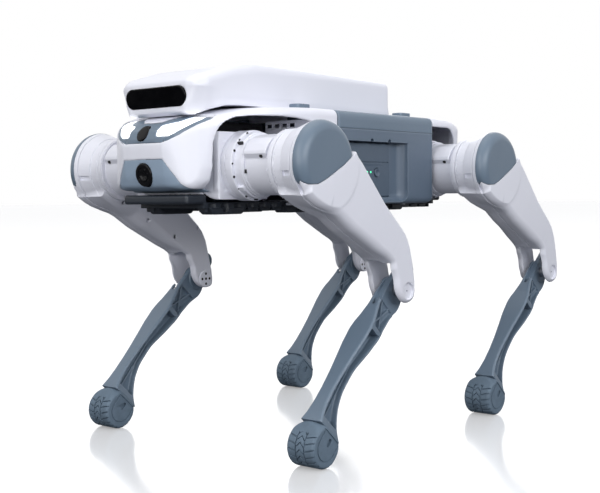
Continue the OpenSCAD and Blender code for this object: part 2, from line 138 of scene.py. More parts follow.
def slab(v, a, b):
    return np.abs(v - (a + b) / 2) - (b - a) / 2


def block(x, y, z, x0, x1, y0, y1, z0, z1, r=0.0):
    """A box with every edge rounded."""
    qx = np.abs(x - (x0 + x1) / 2) - (x1 - x0) / 2 + r
    qy = np.abs(y - (y0 + y1) / 2) - (y1 - y0) / 2 + r
    qz = np.abs(z - (z0 + z1) / 2) - (z1 - z0) / 2 + r
    return (np.sqrt(np.maximum(qx, 0) ** 2 + np.maximum(qy, 0) ** 2 + np.maximum(qz, 0) ** 2)
            + np.minimum(np.maximum(qx, np.maximum(qy, qz)), 0) - r)


def drum(p, q, s, r, s0, s1, e=0.0):
    """A round bar of radius r along s, with its end edges rounded by e."""
    return rmax(np.hypot(p, q) - r, slab(s, s0, s1), e) if e else np.maximum(np.hypot(p, q) - r, slab(s, s0, s1))


def cone(p, q, s, r0, r1, s0, s1):
    k = (r1 - r0) / (s1 - s0)
    return np.maximum((np.hypot(p, q) - (r0 + k * (s - s0))) / math.sqrt(1 + k * k), slab(s, s0, s1))


def ngroove(d, r):
    """Depth of a rounded groove whose middle line lies where d is 0."""
    return np.abs(d) - r


# ------------------------------------------------------------------ surface mesh of a field


def surface(field, lo, hi, h):
    lo = np.array(lo, float) - h * 1.37
    hi = np.array(hi, float) + h * 1.61
    B = 6
    nb = np.ceil((hi - lo) / (h * B)).astype(int)
    n = nb * B + 1

    def f(P):
        out = np.empty(len(P))
        for s in range(0, len(P), 200000):
            q = P[s:s + 200000]
            out[s:s + 200000] = field(q[:, 0], q[:, 1], q[:, 2])
        return out

    cs = [lo[a] + (np.arange(nb[a]) * B + B / 2) * h for a in range(3)]
    C = np.stack(np.meshgrid(*cs, indexing="ij"), -1).reshape(-1, 3)
    near = (np.abs(f(C)) < B * h * 0.8661 * 1.3).reshape(nb)
    mask = np.zeros(n, bool)
    for i, j, k in np.argwhere(near):
        mask[i * B:i * B + B + 1, j * B:j * B + B + 1, k * B:k * B + B + 1] = True
    idx = np.flatnonzero(mask.ravel())
    ijk = np.stack(np.unravel_index(idx, n), 1)
    V = np.full(int(np.prod(n)), 1e3)
    V[idx] = f(lo + ijk * h)
    V[np.abs(V) < 1e-7] = 1e-7
    V = V.reshape(n)
    # no surface may touch the lattice's border
    for a in range(3):
        for side in (0, -1):
            edge = [slice(None)] * 3
            edge[a] = side
            V[tuple(edge)] = np.maximum(V[tuple(edge)], 1e-3)
    P_all, N_all, cells_all, flip_all = [], [], [], []
    strides = np.array([n[1] * n[2], n[2], 1], np.int64)
    for a in range(3):
        sl0 = [slice(None)] * 3
        sl1 = [slice(None)] * 3
        sl0[a] = slice(0, n[a] - 1)
        sl1[a] = slice(1, n[a])
        v0, v1 = V[tuple(sl0)], V[tuple(sl1)]
        hit = mask[tuple(sl0)] & mask[tuple(sl1)] & ((v0 < 0) != (v1 < 0))
        e = np.argwhere(hit)
        if not len(e):
            continue
        a0, a1 = v0[hit], v1[hit]
        inside_first = a0 < 0
        t0, t1 = np.zeros(len(e)), np.ones(len(e))
        base = lo + e * h
        for _ in range(3):
            t = t0 + (t1 - t0) * np.clip(a0 / (a0 - a1), 0.02, 0.98)
            p = base.copy()
            p[:, a] += t * h
            m = f(p)
            same = (m < 0) == (a0 < 0)
            t0, a0 = np.where(same, t, t0), np.where(same, m, a0)
            t1, a1 = np.where(same, t1, t), np.where(same, a1, m)
        t = t0 + (t1 - t0) * np.clip(a0 / (a0 - a1 + 1e-30), 0, 1)
        p = base.copy()
        p[:, a] += t * h
        P_all.append(p)
        b, c = (a + 1) % 3, (a + 2) % 3
        quad = []
        for ob, oc in ((0, 0), (-1, 0), (-1, -1), (0, -1)):
            q = e.copy()
            q[:, b] += ob
            q[:, c] += oc
            quad.append(q @ strides)
        cells_all.append(np.stack(quad, 1))
        flip_all.append(~inside_first)
    P = np.concatenate(P_all)
    cells = np.concatenate(cells_all)
    flip = np.concatenate(flip_all)
    eps = 0.12 * h
    N = np.empty_like(P)
    for a in range(3):
        d = np.zeros(3)
        d[a] = eps
        N[:, a] = f(P + d) - f(P - d)
    N /= np.maximum(np.linalg.norm(N, axis=1), 1e-12)[:, None]
    keys, inv = np.unique(cells.ravel(), return_inverse=True)
    inv = inv.ravel()
    m = len(keys)
    Pr, Nr = np.repeat(P, 4, 0), np.repeat(N, 4, 0)
    cnt = np.bincount(inv, minlength=m).astype(float)
    mass = np.stack([np.bincount(inv, Pr[:, a], m) for a in range(3)], 1) / cnt[:, None]
    rhs = np.einsum("ij,ij->i", Nr, Pr - mass[inv])
    A = np.zeros((m, 3, 3))
    for i in range(3):
        for j in range(i, 3):
            A[:, i, j] = np.bincount(inv, Nr[:, i] * Nr[:, j], m)
            A[:, j, i] = A[:, i, j]
    bvec = np.stack([np.bincount(inv, Nr[:, i] * rhs, m) for i in range(3)], 1)
    for i in range(3):
        A[:, i, i] += 0.03 * cnt
    x = np.linalg.solve(A, bvec[:, :, None])[:, :, 0]
    cell = np.stack(np.unravel_index(keys, n), 1)
    mid = lo + (cell + 0.5) * h
    x = np.clip(mass + x, mid - 0.55 * h, mid + 0.55 * h)
    quads = inv.reshape(-1, 4)
    quads[flip] = quads[flip][:, ::-1]
    return x, quads


def new_mesh(name, V, Q):
    """V in metres."""
    me = bpy.data.meshes.new(name)
    me.vertices.add(len(V))
    me.vertices.foreach_set("co", np.ascontiguousarray(V, np.float32).ravel())
    me.loops.add(Q.size)
    me.loops.foreach_set("vertex_index", np.ascontiguousarray(Q, np.int32).ravel())
    me.polygons.add(len(Q))
    me.polygons.foreach_set("loop_start", np.arange(0, Q.size, Q.shape[1], dtype=np.int32))
    me.update(calc_edges=True)
    me.validate()
    return me


def smooth(me, angle=38):
    me.shade_smooth()
    me.set_sharp_from_angle(angle=math.radians(angle))


def thin_out(obj, ratio):
    """Fewer faces where the surface is flat."""
    bpy.context.view_layer.update()
    m = obj.modifiers.new("thin", "DECIMATE")
    m.ratio = ratio
    m.use_collapse_triangulate = False
    dg = bpy.context.evaluated_depsgraph_get()
    me = bpy.data.meshes.new_from_object(obj.evaluated_get(dg))
    obj.modifiers.clear()
    old = obj.data
    obj.data = me
    bpy.data.meshes.remove(old)
    return obj


def add(me, name):
    o = bpy.data.objects.new(name, me)
    scene.collection.objects.link(o)
    return o


def piece(name, field, lo, hi, h, ratio=0.35, offset=(SX, 0, 0), angle=38):
    """An object from a distance field in hip-centred millimetres."""
    V, Q = surface(field, lo, hi, h)
    V = (V + np.array(offset)) * 0.001
    o = add(new_mesh(name, V, Q), name)
    if ratio < 1:
        thin_out(o, ratio)
    o.data.name = name
    smooth(o.data, angle)
    print("piece", name, len(Q), "->", len(o.data.polygons))
    return o


def mirrored(me, name, axis=1):
    """A copy of the mesh mirrored in the row frame."""
    m = me.copy()
    m.name = name
    k = Matrix.Identity(4)
    k[axis][axis] = -1
    m.transform(k)
    m.flip_normals()
    return m

# ------------------------------------------------------------------ materials


class Graph:
    def __init__(self, name):
        self.mat = bpy.data.materials.new(name)
        self.mat.use_nodes = True
        self.t = self.mat.node_tree
        self.n = self.t.nodes
        self.p = self.n["Principled BSDF"]
        self.co = self.add("ShaderNodeTexCoord")
        self.map = self.add("ShaderNodeMapping")
        self.link(self.co.outputs["Object"], self.map.inputs["Vector"])

    def add(self, kind, **kw):
        node = self.n.new(kind)
        for k, v in kw.items():
            setattr(node, k, v)
        return node

    def link(self, a, b):
        self.t.links.new(a, b)

    def noise(self, scale, detail=3.0, rough=0.5, dist=0.0):
        t = self.add("ShaderNodeTexNoise")
        t.inputs["Scale"].default_value = scale
        t.inputs["Detail"].default_value = detail
        t.inputs["Roughness"].default_value = rough
        t.inputs["Distortion"].default_value = dist
        self.link(self.map.outputs[0], t.inputs["Vector"])
        return t.outputs["Fac"]

    def ramp(self, fac, stops):
        r = self.add("ShaderNodeValToRGB")
        e = r.color_ramp.elements
        e[0].position, e[0].color = stops[0][0], (*stops[0][1], 1)
        e[1].position, e[1].color = stops[-1][0], (*stops[-1][1], 1)
        for pos, col in stops[1:-1]:
            q = e.new(pos)
            q.color = (*col, 1)
        self.link(fac, r.inputs[0])
        return r.outputs[0]

    def range(self, fac, a, b, c, d):
        r = self.add("ShaderNodeMapRange")
        for k, v in zip(("From Min", "From Max", "To Min", "To Max"), (a, b, c, d)):
            r.inputs[k].default_value = v
        self.link(fac, r.inputs["Value"])
        return r.outputs[0]

    def bump(self, height, strength, distance, before=None):
        b = self.add("ShaderNodeBump")
        b.inputs["Strength"].default_value = strength
        b.inputs["Distance"].default_value = distance
        self.link(height, b.inputs["Height"])
        if before is not None:
            self.link(before, b.inputs["Normal"])
        return b.outputs[0]

    def edge(self, width):
        """1 along worn outer edges."""
        g = self.add("ShaderNodeNewGeometry")
        return self.range(g.outputs["Pointiness"], 0.52, 0.60, 0.0, 1.0)


def plastic(name, base, vary, rough, grain=1400.0, grain_depth=0.00003, coat=0.0, spec=0.5, wear=None):
    """Moulded plastic: fine spark-eroded grain, faint flow mottling, uneven sheen, softly polished edges."""
    g = Graph(name)
    broad = g.noise(9.0, 2.0)
    fine = g.noise(160.0, 4.0, 0.6)
    mix = g.add("ShaderNodeMix", data_type="RGBA")
    lo = [max(0.0, c - v) for c, v in zip(base, vary)]
    hi = [min(1.0, c + v) for c, v in zip(base, vary)]
    col = g.ramp(broad, [(0.3, lo), (0.5, base), (0.72, hi)])
    if wear:
        g.link(g.edge(0.5), mix.inputs["Factor"])
        g.link(col, mix.inputs["A"])
        mix.inputs["B"].default_value = (*wear, 1)
        g.link(mix.outputs["Result"], g.p.inputs["Base Color"])
    else:
        g.link(col, g.p.inputs["Base Color"])
    r = g.add("ShaderNodeMath", operation="ADD")
    g.link(g.range(fine, 0.3, 0.7, rough - 0.05, rough + 0.05), r.inputs[0])
    g.link(g.range(broad, 0.3, 0.7, -0.03, 0.03), r.inputs[1])
    g.link(r.outputs[0], g.p.inputs["Roughness"])
    g.link(g.bump(g.noise(grain, 2.0, 0.6), 0.35, grain_depth), g.p.inputs["Normal"])
    g.p.inputs["Specular IOR Level"].default_value = spec
    g.p.inputs["Coat Weight"].default_value = coat
    g.p.inputs["Coat Roughness"].default_value = 0.25
    return g.mat


def metal(name, base, rough):
    """Turned and blasted metal with fine brushed streaks."""
    g = Graph(name)
    g.map.inputs["Scale"].default_value = (1.0, 14.0, 1.0)
    streak = g.noise(220.0, 5.0, 0.7)
    g.link(g.ramp(streak, [(0.3, [c * 0.86 for c in base]), (0.7, [min(1, c * 1.1) for c in base])]), g.p.inputs["Base Color"])
    g.link(g.range(streak, 0.3, 0.7, rough - 0.07, rough + 0.09), g.p.inputs["Roughness"])
    g.link(g.bump(streak, 0.25, 0.00004), g.p.inputs["Normal"])
    g.p.inputs["Metallic"].default_value = 1.0
    return g.mat


def rubber(name, base):
    """Moulded rubber: pebbled skin with dusty mottling."""
    g = Graph(name)
    dust = g.noise(45.0, 5.0, 0.65)
    g.link(g.ramp(dust, [(0.35, base), (0.7, [min(1, c * 1.25 + 0.01) for c in base])]), g.p.inputs["Base Color"])
    g.link(g.range(dust, 0.3, 0.7, 0.55, 0.75), g.p.inputs["Roughness"])
    v = g.add("ShaderNodeTexVoronoi")
    v.inputs["Scale"].default_value = 900.0
    g.link(g.map.outputs[0], v.inputs["Vector"])
    g.link(g.bump(v.outputs["Distance"], 0.4, 0.00008), g.p.inputs["Normal"])
    g.p.inputs["Specular IOR Level"].default_value = 0.35
    return g.mat


def glossy(name, base, rough=0.08):
    """Dark optical cover: deep gloss with faint smudges."""
    g = Graph(name)
    smudge = g.noise(60.0, 6.0, 0.7, 0.6)
    g.link(g.ramp(smudge, [(0.4, base), (0.8, [c + 0.004 for c in base])]), g.p.inputs["Base Color"])
    g.link(g.range(smudge, 0.35, 0.8, rough, rough + 0.1), g.p.inputs["Roughness"])
    g.link(g.bump(g.noise(300.0, 3.0), 0.05, 0.00002), g.p.inputs["Normal"])
    g.p.inputs["Coat Weight"].default_value = 0.0
    g.p.inputs["Specular IOR Level"].default_value = 0.12
    return g.mat


def lit(name, colour, strength, cell=420.0):
    """Diffusing lamp cover with a fine lens pattern, lit from behind."""
    g = Graph(name)
    v = g.add("ShaderNodeTexVoronoi")
    v.inputs["Scale"].default_value = cell
    g.link(g.map.outputs[0], v.inputs["Vector"])
    col = g.ramp(v.outputs["Distance"], [(0.0, colour), (1.0, [c * 0.93 for c in colour])])
    g.link(col, g.p.inputs["Base Color"])
    g.link(col, g.p.inputs["Emission Color"])
    g.p.inputs["Emission Strength"].default_value = strength
    g.link(g.range(v.outputs["Distance"], 0.0, 1.0, 0.18, 0.3), g.p.inputs["Roughness"])
    g.link(g.bump(v.outputs["Distance"], 0.2, 0.00005), g.p.inputs["Normal"])
    return g.mat


M_WHITE = plastic("white_shell_plastic", [0.80, 0.81, 0.885], [0.012, 0.012, 0.010], 0.36, coat=0.08, wear=[0.83, 0.84, 0.90])
M_SLATE = plastic("slate_shell_plastic", [0.135, 0.185, 0.245], [0.010, 0.011, 0.012], 0.40, coat=0.05, wear=[0.20, 0.255, 0.32])
# lighter copy of the slate plastic for the front-facing chin: painted light, standing in for the light that falls on
# front faces
M_SLATE_PAINTED_LIT = plastic("slate_shell_plastic_painted_lit", [0.27, 0.35, 0.45], [0.012, 0.013, 0.014], 0.38, coat=0.05, wear=[0.27, 0.335, 0.41])
# darker copy of the slate plastic for the bay below its lid: painted shade for the darkening towards the bottom of the
# bay, under the body and between the legs
M_SLATE_PAINTED_SHADE = plastic("slate_shell_plastic_painted_shade", [0.105, 0.145, 0.20], [0.008, 0.009, 0.010], 0.42, coat=0.05, wear=[0.16, 0.205, 0.26])
M_PACK = plastic("battery_case_plastic", [0.082, 0.116, 0.162], [0.007, 0.008, 0.009], 0.44, wear=[0.13, 0.17, 0.22])
M_DARK = plastic("dark_frame_plastic", [0.012, 0.017, 0.026], [0.004, 0.005, 0.006], 0.48, grain=900.0, wear=[0.03, 0.038, 0.05])
M_HOLE = plastic("socket_shadow_black", [0.004, 0.004, 0.006], [0.002, 0.002, 0.002], 0.7)
M_RUBBER = rubber("foot_rubber", [0.11, 0.155, 0.205])
M_GLASS = glossy("black_window", [0.0015, 0.0015, 0.002])
M_LENS = glossy("lens_black", [0.006, 0.006, 0.007], 0.16)
M_LAMP = lit("lamp_cover", [1.0, 1.0, 1.0], 1.6)
M_GREEN = lit("battery_led_green", [0.10, 0.85, 0.42], 1.1, 900.0)
M_ACT = plastic("actuator_shell_plastic", [0.78, 0.79, 0.865], [0.012, 0.012, 0.010], 0.34, coat=0.08, wear=[0.82, 0.83, 0.89])
M_INNER = plastic("inner_wall_grey", [0.20, 0.205, 0.23], [0.02, 0.02, 0.02], 0.6)
M_STEEL = metal("brushed_steel", [0.46, 0.47, 0.50], 0.34)


def dress(o, mat, body, nodes=()):
    o.data.materials.clear()
    o.data.materials.append(mat)
    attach(o, body)
    if nodes:
        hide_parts(*nodes)
    return o


# ------------------------------------------------------------------ the body's shells, hip-centred millimetres

HW = 106.0
plan_h = Flat([(58, 106, 0), (100, 105), (140, 101), (170, 96.3), (200, 88.4), (216, 80.5, 14), (229, 74.3, 12), (242, 64.5, 14),
               (252, 53.5, 14), (265.5, 31, 9), (267.4, 18), (268, 0)], r=30, mirror="y", pitch=0.8)
side_h = Flat([(58, 271, 0), (58, 380, 0), (115, 380), (140, 379.4), (185, 377.5), (205, 374.5), (226, 369.4), (240, 365),
               (252, 359.6), (262, 352, 9), (267.0, 343.5, 7), (267.5, 335), (265, 320), (262.3, 303), (257.5, 292, 9), (245, 286.2, 9),
               (222, 286.5), (200, 271, 0)], r=30, pitch=0.8)
front_h = Flat([(0, 284), (44, 286), (57, 289, 12), (66.5, 298, 14), (71, 312), (74, 335), (79, 356), (84, 392, 0), (0, 392, 0)],
               r=24, mirror="x", pitch=0.8)
window_h = Flat([(86, 240, 0), (86, 348), (95, 360), (111, 365.2), (128, 367.4), (150, 368.4), (186, 367.8), (207, 365.8), (220.5, 359.2),
                 (227.2, 349), (229.4, 336), (228.4, 296), (228.4, 240, 0)], r=26, pitch=0.8)
trim_f = Flat([(0, 338.9), (29.5, 338.8, 4), (37.2, 341.3, 6), (48, 347.1), (61.6, 357.4), (70.0, 363.6, 2), (68.5, 367.6, 2), (59, 371.0),
               (46.5, 370.4), (28, 367.4), (14, 361.0), (0, 360.4)], r=5, mirror="x", pitch=0.5)
lamp_f = Flat([(21.0, 345.4, 2.5), (34.9, 345.4, 5), (41.8, 348.4), (52, 355.8), (60.6, 362.8, 2.2), (61.2, 366.0, 1.6), (56, 368.0, 2), (46, 367.6, 2.5),
               (37.5, 361.2), (27, 358.6), (20.6, 357.6, 3)], r=3, pitch=0.4, pad=8)
chin_f = Flat([(0, 321.8), (30, 321.8, 4), (36, 313), (42.5, 304.3), (48, 295.6), (54, 290.4), (62, 287.8), (72, 285, 0), (76, 270, 0), (0, 270, 0)], r=9,
              mirror="x", pitch=0.5)


def head_solid(x, y, z, grow=0.0):
    # the brow falls away towards both sides
    a = side_h(x + 0.28 * np.maximum(0, np.abs(y) - 28) * np.clip((z - 335) / 20, 0, 1), z)
    b = plan_h(x, y)
    c = front_h(y, z) - np.maximum(0, 229 - x)
    return rmax(rmax(a, b, 8.5), c, 6.0) - grow, a, b, c


def head_field(x, y, z):
    s, a, b, c = head_solid(x, y, z)
    f = rcut(s, np.maximum(s + 3.3, 62 - x), 0.8)
    f = np.maximum(f, 61.2 - x)
    ay = np.abs(y)
    # the frame against the bay is a rounded band
    f = rmax(f, 61.2 - x, 2.2)
    f = rcut(f, np.maximum(window_h(x, z), 44 - ay), 1.8)
    f = np.maximum(f, -np.maximum(block(x, y, z, 87, 226, -130, 130, 240, 284.6), -1e9))
    f = rcut(f, np.maximum(trim_f(y, z) - 0.25, 219 - x), 0.9)
    f = rcut(f, np.maximum(chin_f(y, z) - 0.25, 222 - x), 1.1)
    return f


def trim_field(x, y, z):
    s, a, b, c = head_solid(x, y, z)
    ay = np.abs(y)
    crease = (x - 266.4) * 0.97 + (ay - 12.5) * 0.30
    f = rcut(rmax(s + 0.55, crease, 0.8), s + 4.4, 0.5)
    f = rmax(f, np.maximum(trim_f(y, z) + 0.15, 219.5 - x), 0.6)
    f = rcut(f, np.maximum(lamp_f(ay, z) - 0.2, 221 - x), 0.8)
    f = rcut(f, np.hypot(y, z - 349.6) - 8.7, 0.6)
    return f


def lamp_field(x, y, z):
    s, a, b, c = head_solid(x, y, z)
    f = rcut(s + 0.9, s + 4.6, 0.4)
    return rmax(f, np.maximum(lamp_f(np.abs(y), z) + 0.15, 221 - x), 1.0)


def chin_field(x, y, z):
    s, a, b, c = head_solid(x, y, z)
    f = rcut(s + 1.1, s + 4.6, 0.5)
    f = rmax(f, np.maximum(chin_f(y, z) + 0.15, 223 - x), 0.7)
    return rcut(f, np.hypot(y, z - 305.5) - 12.8, 0.7)


def cameras_field(x, y, z):
    s, a, b, c = head_solid(x, y, z)
    s = np.maximum(s, x - 267.0)
    ru, rl = np.hypot(y, z - 349.6), np.hypot(y, z - 305.5)
    pu = ((x - 262.4) + 0.62 * (z - 349.6)) * 0.85
    up = rmax(ru - 8.4, np.maximum(np.maximum(pu, x - 267.2), 244 - x), 1.8)
    up = rcut(up, np.maximum(np.abs(ru - 6.6) - 0.3, -pu - 0.35), 0.2)
    pl = (x - 262.6) - 0.16 * (z - 305.5)
    low = rmax(rl - 12.4, np.maximum(pl, 244 - x), 1.8)
    low = rcut(low, np.maximum(np.abs(rl - 7.4) - 0.6, -pl - 0.8), 0.3)
    low = rcut(low, np.maximum(np.hypot(rl, pl - 5.0) - 7.4, rl - 6.4), 0.3)
    return np.minimum(up, low)


plan_r = Flat([(130, 106, 0), (150, 105.4), (175, 102.4), (200, 96.6), (220, 89.6), (236, 82.0, 8), (245.6, 75.8, 6), (246, 60), (246, 0)], r=26, mirror="y", pitch=0.8)
side_r = Flat([(130, 271, 0), (130, 380, 0), (160, 380), (185, 379), (215, 377.6), (238, 375.6, 6), (246, 371.5, 5), (246, 298, 10),
               (238, 287.5, 8), (222, 287), (200, 271, 0)], r=24, pitch=0.8)
front_r = Flat([(0, 286), (50, 287.5), (64, 293, 12), (72, 306, 16), (78.5, 340), (81, 366), (82, 392, 0), (0, 392, 0)], r=24, mirror="x", pitch=0.8)
window_r = Flat([(130, 240, 0), (130, 368.5, 0), (180, 369.2), (193, 366.4), (203, 358.5), (209.5, 346), (212, 334), (213.5, 240, 0)], r=10, pitch=0.8)


def rear_field(x, y, z):
    x = -x
    a = side_r(x, z)
    b = plan_r(x, y)
    c = front_r(y, z) - np.maximum(0, 220 - x) * 1.2
    s = rmax(rmax(a, b, 8.0), c, 5.0)
    f = rcut(s, s + 3.3, 0.8)
    f = rmax(f, 136.3 - x, 1.0)
    f = rcut(f, np.maximum(window_r(x, z), 40 - np.abs(y)), 1.6)
    f = np.maximum(f, -block(x, y, z, 120, 214, -130, 130, 240, 284.6))
    # cable port and cooling slots of the tail panel
    for k in range(5):
        f = rcut(f, block(x, y, z, 238, 260, -34, 34, 306 + 7.5 * k, 309.4 + 7.5 * k, 1.5), 0.6)
    f = rcut(f, block(x, y, z, 236, 260, -14, 14, 350, 361, 3), 0.8)
    return f


bay_f = Flat([(-106, 271), (106, 271), (106, 380), (-106, 380)], r=9.5, pitch=0.8)
rec_xz = Flat([(-79, 272.8, 14), (-79, 440, 0), (48, 440, 0), (48, 272.8, 14)], pitch=0.8)


bay_xz = Flat([(-136.0, 271, 12), (60.4, 271, 2.5), (60.4, 380, 2.5), (-136.0, 380, 9)], pitch=0.8)


def bay_solid(x, y, z):
    f = rmax(bay_f(y, z), slab(x, -136.0, 60.4), 3.2)
    f = rmax(f, bay_xz(x, z), 1.0)
    ay = np.abs(y)
    cut = np.maximum(rmax(rec_xz(x, z), 94 - ay, 11.5), z - 345.5)
    f = rcut(f, cut, 0.9)
    # finger notches over the recess
    for nx in (-40.5, -5.0):
        f = rcut(f, np.maximum(np.hypot(x - nx, z - 345.9) - 3.2, 92 - ay), 0.4)
    # the battery's well
    f = rcut(f, block(x, y, z, -54.9, 36.9, -72, 120, 279.2, 345.0, 2.5), 0.6)
    # hollow ends round the actuators
    f = rcut(f, block(x, y, z, -150, -62, -88, 88, 283, 366, 6), 1.0)
    f = rcut(f, block(x, y, z, 45, 80, -98, 98, 281, 370, 6), 1.0)
    # channel for the frame tray
    f = rcut(f, block(x, y, z, -150, 80, -26.5, 26.5, 250, 279.6, 1), 0.5)
    return f


def bay_low_field(x, y, z):
    return rmax(bay_solid(x, y, z), z - 359.35, 0.5)


def bay_lid_field(x, y, z):
    return rmax(bay_solid(x, y, z), 359.65 - z, 0.5)


batt_f = Flat([(-54, 280, 5.5), (36, 280, 5.5), (36, 344.2, 1.5), (-54, 344.2, 1.5)], pitch=0.6)


def battery_field(x, y, z):
    f = rmax(batt_f(x, z), slab(y, -70, 96), 1.3)
    face = 94.9 - y
    f = rcut(f, np.maximum(np.maximum(np.abs(z - 321.5) - 0.65, np.abs(x + 9) - 42), face), 0.25)
    f = rcut(f, np.maximum(np.maximum(np.abs(z - 317.6) - 0.5, np.abs(x + 12) - 25), face + 0.4), 0.2)
    f = rcut(f, np.maximum(np.hypot(x + 27, z - 309) - 5.7, 92.8 - y), 0.4)
    # finger pull under the panel
    f = rcut(f, np.hypot(np.hypot(np.maximum(np.abs(x + 9) - 16, 0), z - 288) - 3.2, np.minimum(0, 0 * x)) * np.where(np.hypot(np.maximum(np.abs(x + 9) - 16, 0), z - 288) < 3.2, -1, 1) + np.maximum(0, 95.1 - y) * 1.2, 0.4)
    for lx in (-15.0, -8.0, -1.0, 6.0):
        f = rcut(f, np.maximum(np.hypot(x - lx, z - 309.5) - 1.5, 94.8 - y), 0.3)
    return f


def button_field(x, y, z):
    f = drum(x + 27, z - 309, y, 5.0, 94.6, 97.2, 0.9)
    return rcut(f, np.hypot(np.hypot(x + 27, z - 309), y - 103) - 7.0, 0.4)


def leds_field(x, y, z):
    f = None
    for lx in (-15.0, -8.0, -1.0, 6.0):
        d = drum(x - lx, z - 309.5, y, 1.25, 94.2, 96.3, 0.5)
        f = d if f is None else np.minimum(f, d)
    return f


# the instrument box
box_s = Flat([(-104, 380.3, 0), (-104, 424.6, 9), (60, 428.2), (110, 429), (150, 429), (190, 423), (232, 411.4), (245.4, 406.2, 6), (246.6, 400),
              (244.6, 385), (242.4, 371.6, 3), (234, 368.3, 4), (218, 374.4), (200, 379), (180, 380.3)], r=30, pitch=0.7)
box_p = Flat([(247.2, 0), (247, 38), (246.3, 47.5, 6), (240.5, 57.4, 9), (224, 61.6, 12), (200, 62), (-96, 62), (-104, 62, 9), (-104, 0)], r=26, mirror="y",
             pitch=0.7)


def box_plan(x, y, z):
    """The nose of the box draws in towards its lower edge."""
    draw = np.clip((x - 205) / 36, 0, 1) * np.maximum(0, 398 - z) * 0.42
    return box_p(x, np.abs(y) + draw)


def top_box_field(x, y, z):
    a, b = box_s(x, z) + 0.2, box_plan(x, y, z)
    blendr = 7.5 + 4.5 * np.clip((x + 60) / 200, 0, 1)
    f = np.minimum(-blendr, np.maximum(a, b)) + np.hypot(np.maximum(blendr + a, 0), np.maximum(blendr + b, 0))
    # the lower edge stays crisp
    low = np.maximum(np.maximum(a, b), -1e9)
    w = np.clip((396 - z) / 14, 0, 1)
    f = f * (1 - w) + rmax(a, b, 1.6) * w
    slot = np.hypot(np.maximum(np.abs(y) - 35.8, 0), z - 388.2) - 11.3
    f = rcut(f, np.maximum(slot, 242.0 - x), 0.9)
    # seam round the base plate
    f = rcut(f, np.maximum(np.abs(z - 383.2) - 0.6, -(np.maximum(a, b) + 0.9)) + np.where(x > 150, 9.0, 0.0), 0.2)
    # shallow recess inside keeps the shell hollow underneath
    f = rcut(f, block(x, y, z, -98, 170, -55, 55, 370, 384, 1), 0.3)
    return f


def window_field(x, y, z):
    slot = np.hypot(np.maximum(np.abs(y) - 35.5, 0), z - 388.2) - 10.9
    a = box_s(x, z) + 0.6
    b = box_plan(x, y, z) + 0.5
    return rmax(np.maximum(slot, 240.6 - x), np.maximum(a, b), 0.9)


def pads_top_field(x, y, z):
    ax, ay = np.abs(x) - 100, np.abs(y) - 81.5
    qx, qy = np.abs(ax) - 11 + 3.2, np.abs(ay) - 7.5 + 3.2
    d = np.hypot(np.maximum(qx, 0), np.maximum(qy, 0)) + np.minimum(np.maximum(qx, qy), 0) - 3.2
    f = rmax(d, slab(z, 379.5, 385.0), 1.0)
    f = rcut(f, np.maximum(np.abs(ax - 1.5) - 0.6, 384.0 - z), 0.2)
    return rcut(f, np.maximum(np.hypot(ax + 5.2, ay) - 2.0, 382.0 - z), 0.4)


# the belly frame
def chassis_field(x, y, z):
    ay = np.abs(y)
    tray = block(x, y, z, -222, 222, -50, 50, 269.5, 275.6, 0.8)
    # rows of scooped pockets along the tray's edges
    px = (x + 500) % 20 - 10
    tray = rcut(tray, np.maximum(np.hypot(px, (ay - 52.5)) - 6.3, np.abs(z - 272.4) - 2.1), 0.4)
    f = tray
    rail = block(x, ay, z, -216, 216, 36, 47, 265.2, 271, 1.2)
    rail = rcut(rail, np.maximum(np.hypot(px - 0.0, z - 267.0) - 3.0, np.minimum(0, x)), 0.5)
    f = np.minimum(f, np.maximum(rail, 262.8 - z))
    f = np.minimum(f, block(x, y, z, 217, 247, -50, 50, 274, 284, 3))
    f = np.minimum(f, block(x, y, z, -239.5, -217, -50, 50, 274, 284, 3))
    ax = np.abs(x)
    f = np.minimum(f, block(ax, y, z, 92, 210, -18, 18, 275, 345, 2))
    bulk = block(ax, y, z, 88.3, 92.7, -97.5, 97.5, 277.6, 367.2, 1)
    bulk = rcut(bulk, np.hypot(ay - 62, z - 315) - 14, 0.5)
    bulk = np.maximum(bulk, -np.maximum(np.abs(ay - 62) - 27, np.abs(z - 361) - 2.4))
    f = np.minimum(f, bulk)
    f = np.minimum(f, block(x, y, z, 60.8, 220, -18, 18, 345, 351, 1))
    f = np.minimum(f, block(x, y, z, -220, -134.4, -18, 18, 345, 351, 1))
    f = np.minimum(f, block(x, y, z, 205, 245, -16, 16, 294.5, 345, 2))
    return f


def belly_pad_field(x, y, z):
    ay = np.abs(y)
    f = None
    for cx in (184, 62, -124):
        dx = np.abs(x - cx)
        slope = (dx - 22) * 0.7071 + (262.5 - z) * 0.7071
        d = rmax(rmax(slope, slab(z, 262.5, 270.2), 1.6), np.abs(ay - 40) - 10, 1.4)
        d = rcut(d, np.maximum(np.hypot(x - cx - 4, ay - 50) - 4.2, 264.8 - z) , 0.5)
        f = d if f is None else np.minimum(f, d)
    return f


def inner_wall_field(x, y, z):
    """Vented wall that closes the bay behind the front window."""
    ay = np.abs(y)
    f = block(x, ay, z, 93.2, 94.8, 25, 98, 340, 368.2, 0.5)
    for cy in (31.5, 43, 54.5, 66):
        f = rcut(f, np.maximum(np.abs(ay - cy) - 4.1, np.abs(z - 362.4) - 2.1), 0.3)
        f = rmin(f, np.maximum(rmax(np.abs(ay - cy) - 5.3, np.abs(z - 362.4) - 3.3, 0.5), slab(x, 94.5, 95.6)), 0.2)
        f = rcut(f, np.maximum(np.abs(ay - cy) - 4.1, np.abs(z - 362.4) - 2.1), 0.2)
    return f


def head_interior_shade_field(x, y, z):
    """Near-black block with a slotted top inside the head: painted shade for the deep dark inside the head."""
    f = block(x, y, z, 96, 204, -40, 23, 345.5, 366, 3)
    return rcut(f, np.maximum(np.abs((x + 500) % 24 - 12) - 1.2, 364.6 - z), 0.3)


